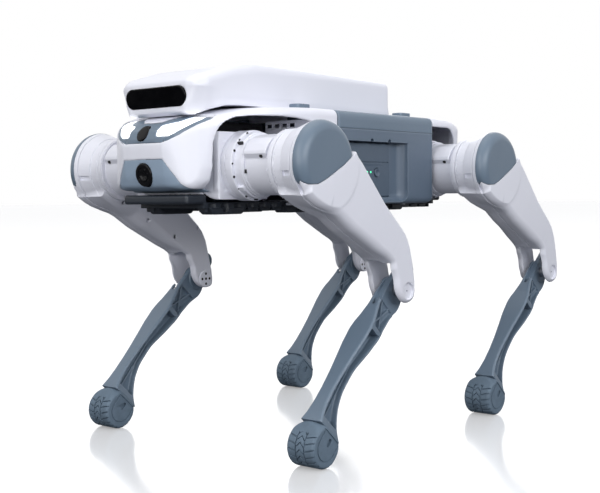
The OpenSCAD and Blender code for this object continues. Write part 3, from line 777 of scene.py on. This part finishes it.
def roll_motor_field(x, y, z):
    ax, ay = np.abs(x), np.abs(y)
    r = np.hypot(ay - 62, z - 315)
    f = rmax(r - 29.5, slab(ax, 93.4, 132.4), 1.5)
    f = np.minimum(f, rmax(r - 22, slab(ax, 131, 134.8), 1))
    for k in range(4):
        f = rcut(f, np.maximum(29.5 - 1.6 - r, np.abs(ax - (102 + 7 * k)) - 1.3), 0.4)
    a = np.arctan2(z - 315, ay - 62)
    return f


print("time shells ...")
P = piece
dress(P("head_shell_detail", head_field, (60, -107, 270), (269, 107, 381), 1.4, 0.45), M_WHITE, "torso", ["head_shell"])
dress(P("face_trim_detail", trim_field, (228, -80, 336), (269, 80, 374), 0.9, 0.5), M_SLATE, "torso", ["face_trim"])
dress(P("headlights_detail", lamp_field, (228, -70, 342), (269, 70, 371), 0.9, 0.6), M_LAMP, "torso", ["headlights"])
# the chin gets the lighter slate copy: painted light on its front-facing surfaces
dress(P("chin_bumper_detail", chin_field, (222, -76, 282), (268, 76, 324), 1.1, 0.5), M_SLATE_PAINTED_LIT, "torso", ["chin_bumper"])
dress(P("cameras_detail", cameras_field, (247, -14, 291), (267, 14, 360), 0.8, 0.6), M_LENS, "torso", ["cameras"])
dress(P("rear_shell_detail", rear_field, (-247, -107, 284), (-135, 107, 381), 1.4, 0.45), M_WHITE, "torso", ["rear_shell"])
# the bay below the lid gets the darker slate copy: painted shade; the lid above keeps the plain slate
dress(P("battery_bay_detail", bay_low_field, (-139, -107, 270), (61, 107, 360), 1.4, 0.4), M_SLATE_PAINTED_SHADE, "torso", ["battery_bay"])
dress(P("battery_bay_lid", bay_lid_field, (-139, -107, 359), (61, 107, 381), 1.4, 0.5), M_SLATE, "torso")
dress(P("battery_pack_detail", battery_field, (-55, -71, 279), (37, 97, 345), 1.1, 0.3), M_PACK, "battery", ["battery_pack"])
dress(P("battery_leds", leds_field, (-17, 94, 307), (8, 97, 312), 0.45, 1), M_GREEN, "battery")
dress(P("power_button_detail", button_field, (-33, 94, 303), (-21, 98, 315), 0.5, 1), M_PACK, "power_button", ["power_button"])
dress(P("top_box_detail", top_box_field, (-105, -63, 367), (248, 63, 430), 1.5, 0.35), M_WHITE, "torso", ["top_box"])
dress(P("depth_window_detail", window_field, (240, -48, 376), (248, 48, 401), 0.7, 0.5), M_GLASS, "torso", ["depth_window"])
dress(P("top_pads_detail", pads_top_field, (-112, -90, 379), (112, 90, 386), 0.8, 0.4), M_SLATE, "torso", ["top_pads"])
dress(P("chassis_detail", chassis_field, (-241, -98, 262), (248, 98, 368), 1.5, 0.3), M_DARK, "torso", ["chassis"])
dress(P("belly_pads_detail", belly_pad_field, (-155, -51, 262), (214, 51, 271), 1.0, 0.4), M_DARK, "torso", ["belly_pads"])
dress(P("bay_inner_wall", inner_wall_field, (93, -99, 339), (96, 99, 369), 0.7, 0.4), M_ACT, "torso")
# near-black block inside the head: painted shade
dress(P("head_interior_painted_shade", head_interior_shade_field, (95, -41, 345), (205, 24, 367), 1.4, 0.4), M_HOLE, "torso")
dress(P("hip_roll_motors_detail", roll_motor_field, (-136, -93, 284), (136, 93, 346), 1.3, 0.4), M_ACT, "torso", ["hip_roll_motors"])

# ------------------------------------------------------------------ one left leg; x, z from the hip axis, y from the middle plane
TL, SL = math.radians(45.2), math.radians(43.6)
KX, KZ = -200 * math.sin(TL), -200 * math.cos(TL)
MIDY = 160.5


def thigh_uv(x, z):
    """u runs down the thigh, v to its rear and up."""
    return -x * math.sin(TL) - z * math.cos(TL), -x * math.cos(TL) + z * math.sin(TL)


def shank_uv(x, z):
    dx, dz = x - KX, z - KZ
    return dx * math.sin(SL) - dz * math.cos(SL), -dx * math.cos(SL) - dz * math.sin(SL)


def groove(f, d, r, depth):
    """Cuts a line of half-width r where d is 0, as deep as depth."""
    return rcut(f, np.maximum(np.abs(d) - r, -f - depth), 0.25)


def hip_link_field(x, y, z):
    r = np.hypot(x, z)
    rr = np.hypot(y - 62, z)
    f = np.maximum(rr - 36.2, y - 65)
    f = rmax(f, slab(x, -37.8, 39.2), 1.8)
    q = np.hypot(np.maximum(np.abs(x - 1) - 30, 0), np.maximum(np.abs(z - 1.6) - 24, 0)) + np.minimum(np.maximum(np.abs(x - 1) - 30, np.abs(z - 1.6) - 24), 0) - 9.2
    plate = rmax(q, slab(y, 58, 65), 1.6)
    for sx in (-31, 31):
        for sz in (-25.5, 27):
            plate = rcut(plate, np.maximum(np.hypot(x - sx, z - sz) - 2.8, 62.0 - y), 0.4)
    f = rmin(f, plate, 2.0)
    ring = rmax(r - 38, slab(y, 63, 81.6), 1.0)
    ring = rcut(ring, np.maximum(np.abs(y - 71.6) - 0.45, 37.4 - r), 0.2)
    ring = rcut(ring, np.maximum(np.abs(y - 65.6) - 0.6, 36.6 - r), 0.2)
    f = rmin(f, ring, 0.8)
    # deep channel to the front and the rear, shallow above and below
    a = np.arctan2(z, np.abs(x))
    deep = np.abs(a) < math.radians(41)
    f = rmin(f, rmax(r - np.where(deep, 33.4, 35.8), slab(y, 80, 89.0), 0.5), 0.3)
    f = rmin(f, rmax(r - 34.2, slab(y, 88.6, 92.6), 0.8), 0.4)
    # clamping tab at the lower end of the channel
    tab = rmax(rmax(r - 36.9, slab(y, 80.6, 88.6), 0.8), np.abs(a + math.radians(44.5)) * 36 - 3.0, 0.6)
    f = rmin(f, tab, 0.4)
    return np.maximum(f, -np.maximum(r - 31.8, 56 - y))


def fastener_and_hole_shade_field(x, y, z):
    """Dark screw heads on the link's flange, the slot of its clamp, and the barrel's screws: near-black marks, partly
    the screws' own dark colour, partly painted shade in the screw holes and slots.
    """
    r = np.hypot(x, z)
    a = np.arctan2(z, np.abs(x))
    step = math.pi / 8
    k = np.round((a - 0.04) / step)
    da = a - 0.04 - k * step
    f = rmax(np.hypot(r * da, r - 36.1) - np.where(k == 0, 1.0, 1.45), slab(y, 80.2, 82.1), 0.2)
    # black bar filling the clamp's slot: painted shade
    f = np.minimum(f, rmax(np.maximum(np.abs(a - math.radians(41.0)) * 35 - 0.9, slab(r, 32.5, 36.9)), slab(y, 80.6, 89.0), 0.2))
    f = np.minimum(f, rmax(np.hypot(y - 119.6, (z - 8.9) * 0.9) - 2.1, slab(np.abs(x), 30.0, 34.0), 0.3))
    # black block in the barrel's slot: painted shade
    f = np.minimum(f, block(np.abs(x), y, z, 29.5, 32.5, 95.4, 97.8, -9.0, -4.8, 0.3))
    f = np.minimum(f, rmax(np.hypot(np.abs(x) - 31, z - 27) - 2.3, slab(y, 63.6, 64.7), 0.2))
    return f


def shaft_field(x, y, z):
    return rmax(np.hypot(y - 62, z) - 10, slab(x, -51.5, -37.5), 1.0)


boss_xz = Flat([(4, 4), (31.0, 5.0, 0.6), (31.6, 6.2, 0.6), (34.9, 11.2, 0.8), (34.4, 14.5, 1.5), (30, 21.2, 6), (22, 28.0, 6), (8, 32.0), (4, 31.6)], r=2, pitch=0.4)


def pitch_motor_field(x, y, z):
    r = np.hypot(x, z)
    f = rmax(r - 31.2, slab(y, 57.5, 94), 0.8)
    f = np.minimum(f, rmax(r - 33.4, slab(y, 90.4, 95.2), 0.8))
    f = rmin(f, rmax(r - 32.0, slab(y, 95, 131), 0.5), 0.8)
    boss = rmax(boss_xz(np.abs(x), z), slab(y, 96, 127.0), 0.8)
    f = rmin(f, boss, 0.6)
    f = rcut(f, np.maximum(np.maximum(np.abs(y - 95.6) - 0.5, 31.0 - np.abs(x)), np.abs(z + 0.5) - 8), 0.2)
    ring = rmax(r - 37, slab(y, 129.6, 136.5), 0.9)
    f = rmin(f, ring, 0.8)
    f = rcut(f, np.maximum(np.abs(y - 130.9) - 0.45, 35.9 - r), 0.2)
    return np.maximum(f, -np.maximum(r - 12.3, 118 - y))


thigh_2d = Flat([(-2, -44, 0), (20, -38), (36, -33), (54, -26.5), (80, -21), (104, -13.6), (128, -6), (148, 1.6), (157, 2.6, 4),
                 (163, -4, 4), (174, -8.5), (182, -15), (191, -18.2), (203, -17.5), (213, -10.8), (217, -1), (212, 9),
                 (203, 17), (192, 23.4), (180, 30.6), (167, 38.2), (154, 42.4), (142, 43), (128, 42.3), (100, 40.4), (60, 41.4), (20, 42.6), (-2, 44, 0)],
                r=26, pitch=0.6)
ear_room = Flat([(155, 2.5, 3), (161, -8.5), (172, -14), (178, -34, 0), (250, -34, 0), (250, 64, 0), (176, 64, 0), (165, 39.8, 5), (155, 38, 5)], r=3, pitch=0.6)
belly_2d = Flat([(10, -30, 8), (36, -29), (54, -22.4), (80, -16.8), (128, -1.8), (146, 6), (150, 8, 4), (150, 34, 6), (128, 38), (60, 37), (10, 36, 10)], r=10, pitch=0.6)
cap_line = Flat([(70, 4, 0), (46, -5.5, 4), (43.6, -12, 6), (40, -18.6, 8), (34, -21.6, 10), (19, -21.2, 14), (5, -15.6), (-23, -1.6), (-43, 11.4), (-66, 21, 0),
                 (-66, 70, 0), (70, 70, 0)], r=30, pitch=0.6)
INNER_SCREWS = ((30, -25.5), (76, -12), (122, 3), (144, 39.0))


def thigh_inner_field(x, y, z):
    u, v = thigh_uv(x, z)
    r = np.hypot(x, z)
    root = rmax(r - 37, slab(y, 137.2, 152), 0.9)
    root = rcut(root, np.maximum(np.abs(y - 139.6) - 0.45, 36.2 - r), 0.2)
    root = rmin(root, cone(x, z, y, 38.2, 44.0, 150.2, 168.5), 0.8)
    side = thigh_2d(u, v - 6.0 * np.clip((u - 150) / 16, 0, 1) * np.clip((12 - v) / 14, 0, 1))
    # the bottom edge is a soft shoulder, the rear edge a wide one
    ei = 4.2 + 13.0 * np.clip((6 - v) / 16, 0, 1) * np.clip((u - 26) / 30, 0, 1) * np.clip((176 - u) / 20, 0, 1)
    limb = np.minimum(-ei, np.maximum(side, 139 - y)) + np.hypot(np.maximum(ei + side, 0), np.maximum(ei + 139 - y, 0))
    limb = np.maximum(limb, -u + 2)
    f = rmin(root, limb, 7.0)
    f = rmax(f, y - 165.7, 0.7)
    # the gap between the knee ears
    f = rcut(f, np.maximum(ear_room(u - 0.35 * (y - 162), v), 147.2 - y), 1.0)
    # room inside for the actuator, the crank and the rod
    f = rcut(f, np.maximum(r - 33.8, 141.5 - y), 0.5)
    f = rcut(f, np.maximum(r - 38.5, 162.2 - y), 0.3)
    f = rcut(f, np.maximum(belly_2d(u, v) + 0.55 * (ei - 4.2) * np.clip((156 - y) / 10, 0, 1), 142.6 - y), 1.2)
    # front slot of the root
    f = rcut(f, np.maximum(block(x, y, z, 28, 50, 152.0, 164.6, -12.6, -7.4, 0.4), 36.2 + 0.31 * (y - 150.2) - r), 0.3)
    for su, sv in INNER_SCREWS:
        f = rcut(f, np.maximum(np.hypot(u - su, v - sv) - 2.7, y - 143.6), 0.5)
    # cover recess at the knee
    f = rcut(f, np.maximum(np.hypot(u - 200, v) - 11.4, y - 140.0), 0.5)
    return np.maximum(f, -np.maximum(np.hypot(u - 200, v) - 5.15, 120 - y))


def stub_field(x, y, z):
    return rmax(np.hypot(x, z) - 12, slab(y, 122, 142.6), 0.8)


def thigh_skin(x, y, z):
    u, v = thigh_uv(x, z)
    r = np.hypot(x, z)
    # a domed outer face: full at the rear, falling away to the front and to the knee
    w = np.clip(u / 200, 0, 1)
    top = 184.5 - 1.6 * w * w * (3 - 2 * w)
    side = thigh_2d(u, v - 3.0 * np.clip((u - 150) / 16, 0, 1) * np.clip((12 - v) / 14, 0, 1))
    er = 10.0 - 3.0 * np.clip((u - 120) / 60, 0, 1) - 4.6 * np.clip(v / 26, 0, 1) * np.clip((u - 10) / 30, 0, 1)
    a, b = side, (y - top)
    limb = np.minimum(-er, np.maximum(a, b)) + np.hypot(np.maximum(er + a, 0), np.maximum(er + b, 0))
    limb = np.maximum(limb, 2 - u)
    root = np.minimum(cone(x, z, y, 43.0, 45.0, 164.0, 172.5), rmax(r - 45.0, slab(y, 171, 184.4), 10.0))
    return np.maximum(rmin(root, limb, 9.0), y - 184.7), u, v, r


def thigh_outer_field(x, y, z):
    f, u, v, r = thigh_skin(x, y, z)
    f = rmax(f, 166.4 - y, 0.7)
    f = rcut(f, np.maximum(ear_room(u - 0.35 * (np.minimum(y, 168) - 162), v), y - 176.8), 1.0)
    f = rcut(f, np.maximum(r - 40.3, y - 177.2), 0.5)
    f = rcut(f, np.maximum(belly_2d(u, v), y - 177.8), 1.2)
    f = rcut(f, np.maximum(cap_line(x, z) - 0.2, 171.4 - y), 0.6)
    k = np.hypot(u - 200, v)
    f = rcut(f, rmax(k - 9.6, 180.2 - y, 1.2), 0.5)
    f = rcut(f, np.maximum(k - 1.3, 178.0 - y), 0.3)
    return f


def hip_cap_field(x, y, z):
    r = np.hypot(x, z)
    f = rmax(r - 45.0, slab(y, 160, 184.9), 11.5)
    f = rmax(f, cap_line(x, z) + 0.25, 1.0)
    f = rmax(f, 171.7 - y, 0.4)
    return rcut(f, rmax(r - 40.6, y - 181.6, 9), 0.4)


def knee_cover_field(x, y, z):
    u, v = thigh_uv(x, z)
    return rmax(np.hypot(u - 200, v) - 10.9, slab(y, 137.9, 140.6), 0.9)


def knee_socket_shade_field(x, y, z):
    """Black discs on the inner knee cover at its five sockets: painted shade in the socket holes."""
    u, v = thigh_uv(x, z)
    f = np.hypot(u - 200, v) - 1.7
    for i in range(4):
        a = math.pi / 4 + i * math.pi / 2
        f = np.minimum(f, np.hypot(u - 200 - 6.6 * math.cos(a), v - 6.6 * math.sin(a)) - 1.7)
    return rmax(f, slab(y, 137.75, 139), 0.1)


def knee_axle_field(x, y, z):
    u, v = thigh_uv(x, z)
    k = np.hypot(u - 200, v)
    f = rmax(k - 4.95, slab(y, 140, 178.4), 0.4)
    f = np.minimum(f, rmax(k - 7, slab(y, 165.0, 174.0), 0.5))
    return np.minimum(f, rmax(k - 7.5, slab(y, 147.4, 151.4), 0.5))


shank_s = Flat([(-8, -12.5, 6), (6, -17.6), (20, -19.6), (34, -19.2), (50, -19.0), (70, -20.2), (90, -21.2), (110, -21.7), (130, -22), (150, -22.3),
                (170, -22.3), (192.5, -21.6, 0), (192.5, 21.8, 0), (184, 13.2), (174, 6.6), (160, -0.8), (143, -5), (118, -6.2), (90, -1.0), (55, 5),
                (30, 13), (12, 20.5), (-8, 13.5, 6)], r=40, pitch=0.5)
shank_p = Flat([(-20, 6.4, 0), (22, 6.6), (34, 7.4), (50, 11), (60, 13.4), (70, 14.5), (90, 13.5), (110, 11.3), (130, 9.6), (150, 8.7), (168, 9.2),
                (182, 11.2), (192.5, 14.6, 0)], r=40, mirror="y", pitch=0.5)


def shank_field(x, y, z):
    u, v = shank_uv(x, z)
    w = y - MIDY
    aw = np.abs(w)
    s = shank_s(u, v)
    p = shank_p(u, w)
    f = rmax(s, p, 2.6)
    hubroom = np.maximum(slab(y, 152.2, 164.6), u - 30)
    f = np.maximum(f, np.minimum(hubroom, 27.5 - u))
    k = np.hypot(u, v)
    f = rmin(f, rmax(k - 15, slab(y, 152.2, 164.6), 1.0), 1.0)
    # the lever that the rod pulls
    lever_d = np.hypot(np.maximum(0, np.maximum(-u - 30, u)), v) - (15 - 4 * np.clip(-u / 30, 0, 1))
    f = rmin(f, rmax(lever_d, slab(y, 157.7, 163.4), 0.7), 0.8)
    f = np.minimum(f, rmax(np.hypot(u + 30, v) - 3, slab(y, 162, 170.4), 0.4))
    # side pockets: a thin web between a front wall, a rear wall and end walls
    wall = np.maximum(s + 3.3, np.maximum(24.5 - u, u - 183))
    pocket = rmax(wall, 2.4 - aw, 1.4)
    # the pocket is closed between the braced window and the long channel
    bridge = np.abs(u - 63.5) - 3.2 + np.maximum(0, (v + 4) * 0.4)
    pocket = rmax(pocket, -bridge, 1.6)
    # crossed braces of the upper window
    cu, cv = u - 42.5, v + 4.5
    d1 = np.abs(cu * 0.50 - cv * 0.866) - 0.85
    d2 = np.abs(cu * 0.42 + cv * 0.908) - 0.85
    brace = np.maximum(np.minimum(d1, d2), np.maximum(u - 62, aw - 6.4))
    pocket = rmax(pocket, -brace, 0.5)
    # a long low rib on the channel's floor
    spine = s + 9.2
    rib = np.maximum(np.abs(v - (-13.2 + 3.2 * np.clip((u - 70) / 110, 0, 1))) - 0.9, np.maximum(118 - u, aw - 5.2))
    pocket = rmax(pocket, -rib, 0.5)
    # fillet where the channel ends near the foot
    f = rcut(f, pocket, 0.7)
    # trough down the front of the upper end
    trough = np.maximum(np.maximum(np.abs(w) - (3.8 - 1.4 * np.clip((u - 10) / 30, 0, 1)), u - 36 - 0.35 * (v + 14)), v + 14.5)
    f = rcut(f, trough, 0.7)
    f = np.maximum(f, -(k - 5.1))
    return f + 0.06


def foot_field(x, y, z):
    u, v = shank_uv(x, z)
    w = y - MIDY
    aw = np.abs(w)
    du = u - 210
    r = np.hypot(du, v)
    # a crowned tyre with a short straight neck
    crown = 21.9 - 0.004 * aw ** 2
    body2 = np.where(du < 0, np.maximum(np.abs(v) - 21.9 + 0.0 * du, -18.2 - du), r - 21.9)
    f = rmax(body2, aw - 18.4, 3.2)
    f = rmax(f, np.sqrt(np.maximum(r, 0) ** 2 + (aw * 0.92) ** 2) - 26.6, 1.0)
    ang = np.arctan2(v, du)
    # tread: blocks on both shoulders, arrow blocks down the middle
    stepa = math.radians(19)
    on = (np.abs(ang) < math.radians(98))
    sh = ang + aw * 0.012
    ka = np.round(sh / stepa)
    da = np.abs(sh - ka * stepa) * 21
    depth = 19.9 + 0.0 * r
    lug = np.maximum(np.maximum(da - 0.75, 5.6 - aw), depth - r)
    ca = (ang + 0.5 * stepa) - (aw * 0.045)
    kc = np.round(ca / stepa)
    dc = np.abs(ca - kc * stepa) * 21
    chev = np.maximum(np.maximum(dc - 0.75, aw - 5.6), depth - r)
    line = np.maximum(np.abs(aw - 5.6) - 0.7, depth - r)
    tread = np.minimum(np.minimum(lug, chev), line)
    tread = np.where(on, tread, 5.0)
    f = rcut(f, tread, 0.3)
    # side face: half-round boss with a slot, and a step under the neck
    disc = np.where(du < 0, np.maximum(np.abs(v) - 14.2, -13.5 - du), r - 14.2)
    ringcut = np.maximum(np.abs(disc) - 0.7, 17.4 - aw)
    f = rcut(f, ringcut, 0.3)
    slot = np.maximum(np.hypot(np.maximum(np.abs(du + 6.5) - 2.2, 0), v) - 2.5, 15.2 - aw)
    f = rcut(f, slot, 0.4)
    ledge = np.maximum(np.maximum(np.abs(du + 14.2) - 0.65, 17.3 - aw), np.abs(v) - 16)
    f = rcut(f, ledge, 0.25)
    return f


LEGS = {"fl": (1, 1), "fr": (1, -1), "hl": (-1, 1), "hr": (-1, -1)}
HIP = 174.5


def leg_piece(name, field, lo, hi, h, ratio, mat, bodyname, slot=None, node=None, flip_x=False, angle=38):
    """Meshes the left front piece once, then mirrors it to the right and moves it to the rear."""
    V, Q = surface(field, lo, hi, h)
    base = add(new_mesh(name + "_tmp", V * 0.001, Q), name + "_tmp")
    if ratio < 1:
        thin_out(base, ratio)
    smooth(base.data, angle)
    print("leg", name, len(Q), "->", len(base.data.polygons))
    left = base.data
    for leg, (sx, sy) in LEGS.items():
        me = left.copy()
        if flip_x and sx < 0:
            k = Matrix.Identity(4)
            k[0][0] = -1
            me.transform(k)
            me.flip_normals()
        if sy < 0:
            k = Matrix.Identity(4)
            k[1][1] = -1
            me.transform(k)
            me.flip_normals()
        me.transform(Matrix.Translation(((SX + sx * HIP) * 0.001, 0, 0.315)))
        me.name = f"{name}_{leg}"
        o = add(me, f"{name}_{leg}")
        dress(o, mat, f"{bodyname}_{leg}", [f"{node}_{leg}"] if node else ())
    bpy.data.objects.remove(base)


L = leg_piece
L("hip_link_detail", hip_link_field, (-42, 20, -41), (42, 93, 41), 1.0, 0.4, M_WHITE, "hip", "white_shell", "hip_link", True)
# near-black screw and slot marks: partly dark screws, partly painted shade in the holes and slots
L("hip_fasteners_and_hole_shade", fastener_and_hole_shade_field, (-38, 62, -38), (38, 124, 38), 0.8, 0.5, M_HOLE, "hip", "dark_frame", None, True)
# black discs set on the knee cover at its sockets: painted shade
L("knee_socket_shade", knee_socket_shade_field, (-157, 137, -156), (-127, 140, -126), 0.6, 0.5, M_HOLE, "thigh", "dark_frame")
L("roll_shaft", shaft_field, (-52, 51, -11), (-37, 73, 11), 1.0, 0.5, M_STEEL, "hip", "steel", None, True)
L("hip_pitch_motor_detail", pitch_motor_field, (-38, 57, -38), (38, 137, 38), 1.0, 0.4, M_ACT, "hip", "actuator_shell", "hip_pitch_motor")
L("thigh_inner_detail", thigh_inner_field, (-160, 137, -168), (45, 166, 45), 1.15, 0.33, M_WHITE, "thigh", "white_shell", "thigh_inner")
L("pitch_stub", stub_field, (-13, 121, -13), (13, 143, 13), 1.0, 0.5, M_STEEL, "thigh", "steel")
L("thigh_outer_detail", thigh_outer_field, (-160, 166, -168), (46, 185, 46), 1.15, 0.33, M_WHITE, "thigh", "white_shell", "thigh_outer")
L("hip_cap_detail", hip_cap_field, (-46, 171, -24), (46, 185, 46), 1.1, 0.45, M_SLATE, "thigh", "slate_shell", "hip_cap")
L("knee_cover_detail", knee_cover_field, (-157, 137, -156), (-127, 141, -126), 0.6, 0.5, M_ACT, "thigh", "actuator_shell")
L("knee_axle_detail", knee_axle_field, (-151, 139, -150), (-133, 180, -132), 0.9, 0.5, M_STEEL, "thigh", "steel", "knee_axle")
L("shank_detail", shank_field, (-180, 139, -302), (10, 182, -112), 1.0, 0.4, M_SLATE, "shank", "slate_shell", "shank")
L("foot_detail", foot_field, (-30, 141, -316), (30, 180, -268), 0.85, 0.45, M_RUBBER, "shank", "rubber", "foot")

for leg in LEGS:
    for n in ("knee_motor", "knee_crank", "knee_rod"):
        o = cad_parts[f"{n}_{leg}"]
        for i in range(len(o.data.materials)):
            o.material_slots[i].link = "OBJECT"
            o.material_slots[i].material = M_STEEL
for n in ("body_screws",):
    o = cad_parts[n]
    for i in range(len(o.data.materials)):
        o.material_slots[i].link = "OBJECT"
        o.material_slots[i].material = M_STEEL

# ------------------------------------------------------------------ stage, light and camera
AZ, EL, ROLL = math.radians(130.05), math.radians(2.76), math.radians(-0.51)
back = np.array([math.sin(AZ) * math.cos(EL), -math.cos(AZ) * math.cos(EL), math.sin(EL)])
ax_x = np.cross([0, 0, 1.0], back)
ax_x /= np.linalg.norm(ax_x)
ax_y = np.cross(back, ax_x)
cr, sr = math.cos(ROLL), math.sin(ROLL)
XA, YA = cr * ax_x + sr * ax_y, -sr * ax_x + cr * ax_y
cam_data = bpy.data.cameras.new("camera")
cam_data.sensor_width = 36.0
cam_data.lens = 1082.2 * 36.0 / 600.0
cam_data.clip_start, cam_data.clip_end = 0.05, 60
cam = bpy.data.objects.new("camera", cam_data)
scene.collection.objects.link(cam)
m = Matrix.Identity(4)
pos = (1.0378 + SX / 1000, 0.8688, 0.2836)
for i in range(3):
    m[i][0], m[i][1], m[i][2], m[i][3] = XA[i], YA[i], back[i], pos[i]
cam.matrix_world = m
scene.camera = cam

scene.view_settings.view_transform = "Standard"
scene.view_settings.look = "None"

world = bpy.data.worlds.new("studio")
world.use_nodes = True
scene.world = world
wt = world.node_tree
bg = wt.nodes["Background"]
out = wt.nodes["World Output"]
bg2 = wt.nodes.new("ShaderNodeBackground")
bg2.inputs["Color"].default_value = (1, 1, 1, 1)
bg2.inputs["Strength"].default_value = 1.0
tc = wt.nodes.new("ShaderNodeTexCoord")
sep = wt.nodes.new("ShaderNodeSeparateXYZ")
wt.links.new(tc.outputs["Generated"], sep.inputs[0])
rp = wt.nodes.new("ShaderNodeValToRGB")
rp.color_ramp.elements[0].position, rp.color_ramp.elements[0].color = 0.0, (0.40, 0.41, 0.44, 1)
rp.color_ramp.elements[1].position, rp.color_ramp.elements[1].color = 0.75, (0.92, 0.93, 0.96, 1)
wt.links.new(sep.outputs[2], rp.inputs[0])
wt.links.new(rp.outputs[0], bg.inputs["Color"])
bg.inputs["Strength"].default_value = 0.47
lp = wt.nodes.new("ShaderNodeLightPath")
mx = wt.nodes.new("ShaderNodeMixShader")
seen = wt.nodes.new("ShaderNodeMath")
seen.operation = "MAXIMUM"
wt.links.new(lp.outputs["Is Camera Ray"], seen.inputs[0])
wt.links.new(lp.outputs["Is Glossy Ray"], seen.inputs[1])
wt.links.new(seen.outputs[0], mx.inputs[0])
wt.links.new(bg.outputs[0], mx.inputs[1])
wt.links.new(bg2.outputs[0], mx.inputs[2])
wt.links.new(mx.outputs[0], out.inputs[0])


def area(name, at, to, size, power, colour=(1, 1, 1)):
    d = bpy.data.lights.new(name, "AREA")
    d.shape = "RECTANGLE"
    d.size, d.size_y = size
    d.energy = power
    d.color = colour
    o = bpy.data.objects.new(name, d)
    scene.collection.objects.link(o)
    o.location = at
    o.rotation_mode = "QUATERNION"
    o.rotation_quaternion = (Vector(to) - Vector(at)).to_track_quat("-Z", "Y")
    return o


area("key_front", (1.9, 0.1, 1.35), (0, 0, 0.25), (1.4, 1.1), 13)
area("low_front", (1.9, 0.75, 0.55), (0, 0, 0.25), (1.1, 0.5), 9)
area("fill_side", (0.5, 2.3, 1.1), (0, 0, 0.2), (2.2, 1.0), 32, (0.97, 0.98, 1.0))
area("top", (0.0, 0.0, 2.2), (0, 0, 0.2), (1.8, 1.8), 10)
area("rim", (-1.8, -1.2, 1.2), (0, 0, 0.3), (1.2, 1.0), 6, (0.95, 0.97, 1.0))

# floor: one big softly polished sheet
fm = bpy.data.materials.new("studio_floor")
fm.use_nodes = True
ft = fm.node_tree
for nd in list(ft.nodes):
    ft.nodes.remove(nd)
fo = ft.nodes.new("ShaderNodeOutputMaterial")
dif = ft.nodes.new("ShaderNodeBsdfDiffuse")
glo = ft.nodes.new("ShaderNodeBsdfGlossy")
glo.inputs["Roughness"].default_value = 0.13
glo.inputs["Color"].default_value = (1, 1, 1, 1)
em = ft.nodes.new("ShaderNodeEmission")
em.inputs["Strength"].default_value = 0.30
ml = ft.nodes.new("ShaderNodeMixShader")

lp2 = ft.nodes.new("ShaderNodeLightPath")
shade = ft.nodes.new("ShaderNodeMix")
shade.data_type = "RGBA"
shade.inputs["A"].default_value = (0.13, 0.135, 0.15, 1)
shade.inputs["B"].default_value = (0.93, 0.93, 0.94, 1)
ft.links.new(lp2.outputs["Is Camera Ray"], shade.inputs["Factor"])
fn = ft.nodes.new("ShaderNodeTexNoise")
fn.inputs["Scale"].default_value = 6.0
ft.links.new(shade.outputs["Result"], dif.inputs["Color"])
gl = ft.nodes.new("ShaderNodeMath")
gl.operation = "MULTIPLY"
gl.inputs[1].default_value = 0.55
ft.links.new(lp2.outputs["Is Camera Ray"], gl.inputs[0])
ft.links.new(gl.outputs[0], ml.inputs[0])
ft.links.new(dif.outputs[0], ml.inputs[1])
ft.links.new(glo.outputs[0], ml.inputs[2])
addn = ft.nodes.new("ShaderNodeAddShader")
mul = ft.nodes.new("ShaderNodeMath")
mul.operation = "MULTIPLY"
mul.inputs[1].default_value = 0.30
ft.links.new(lp2.outputs["Is Camera Ray"], mul.inputs[0])
ft.links.new(mul.outputs[0], em.inputs["Strength"])
ft.links.new(ml.outputs[0], addn.inputs[0])
ft.links.new(em.outputs[0], addn.inputs[1])
ft.links.new(addn.outputs[0], fo.inputs[0])
N = 24
fv, ff = [], []
for i in range(N + 1):
    for j in range(N + 1):
        fv.append(((i / N - 0.5) * 60, (j / N - 0.5) * 60, -0.0002))
for i in range(N):
    for j in range(N):
        a = i * (N + 1) + j
        ff.append((a, a + N + 1, a + N + 2, a + 1))
fme = bpy.data.meshes.new("studio_floor")
fme.from_pydata(fv, [], ff)
floor = add(fme, "studio_floor")
floor.data.materials.append(fm)
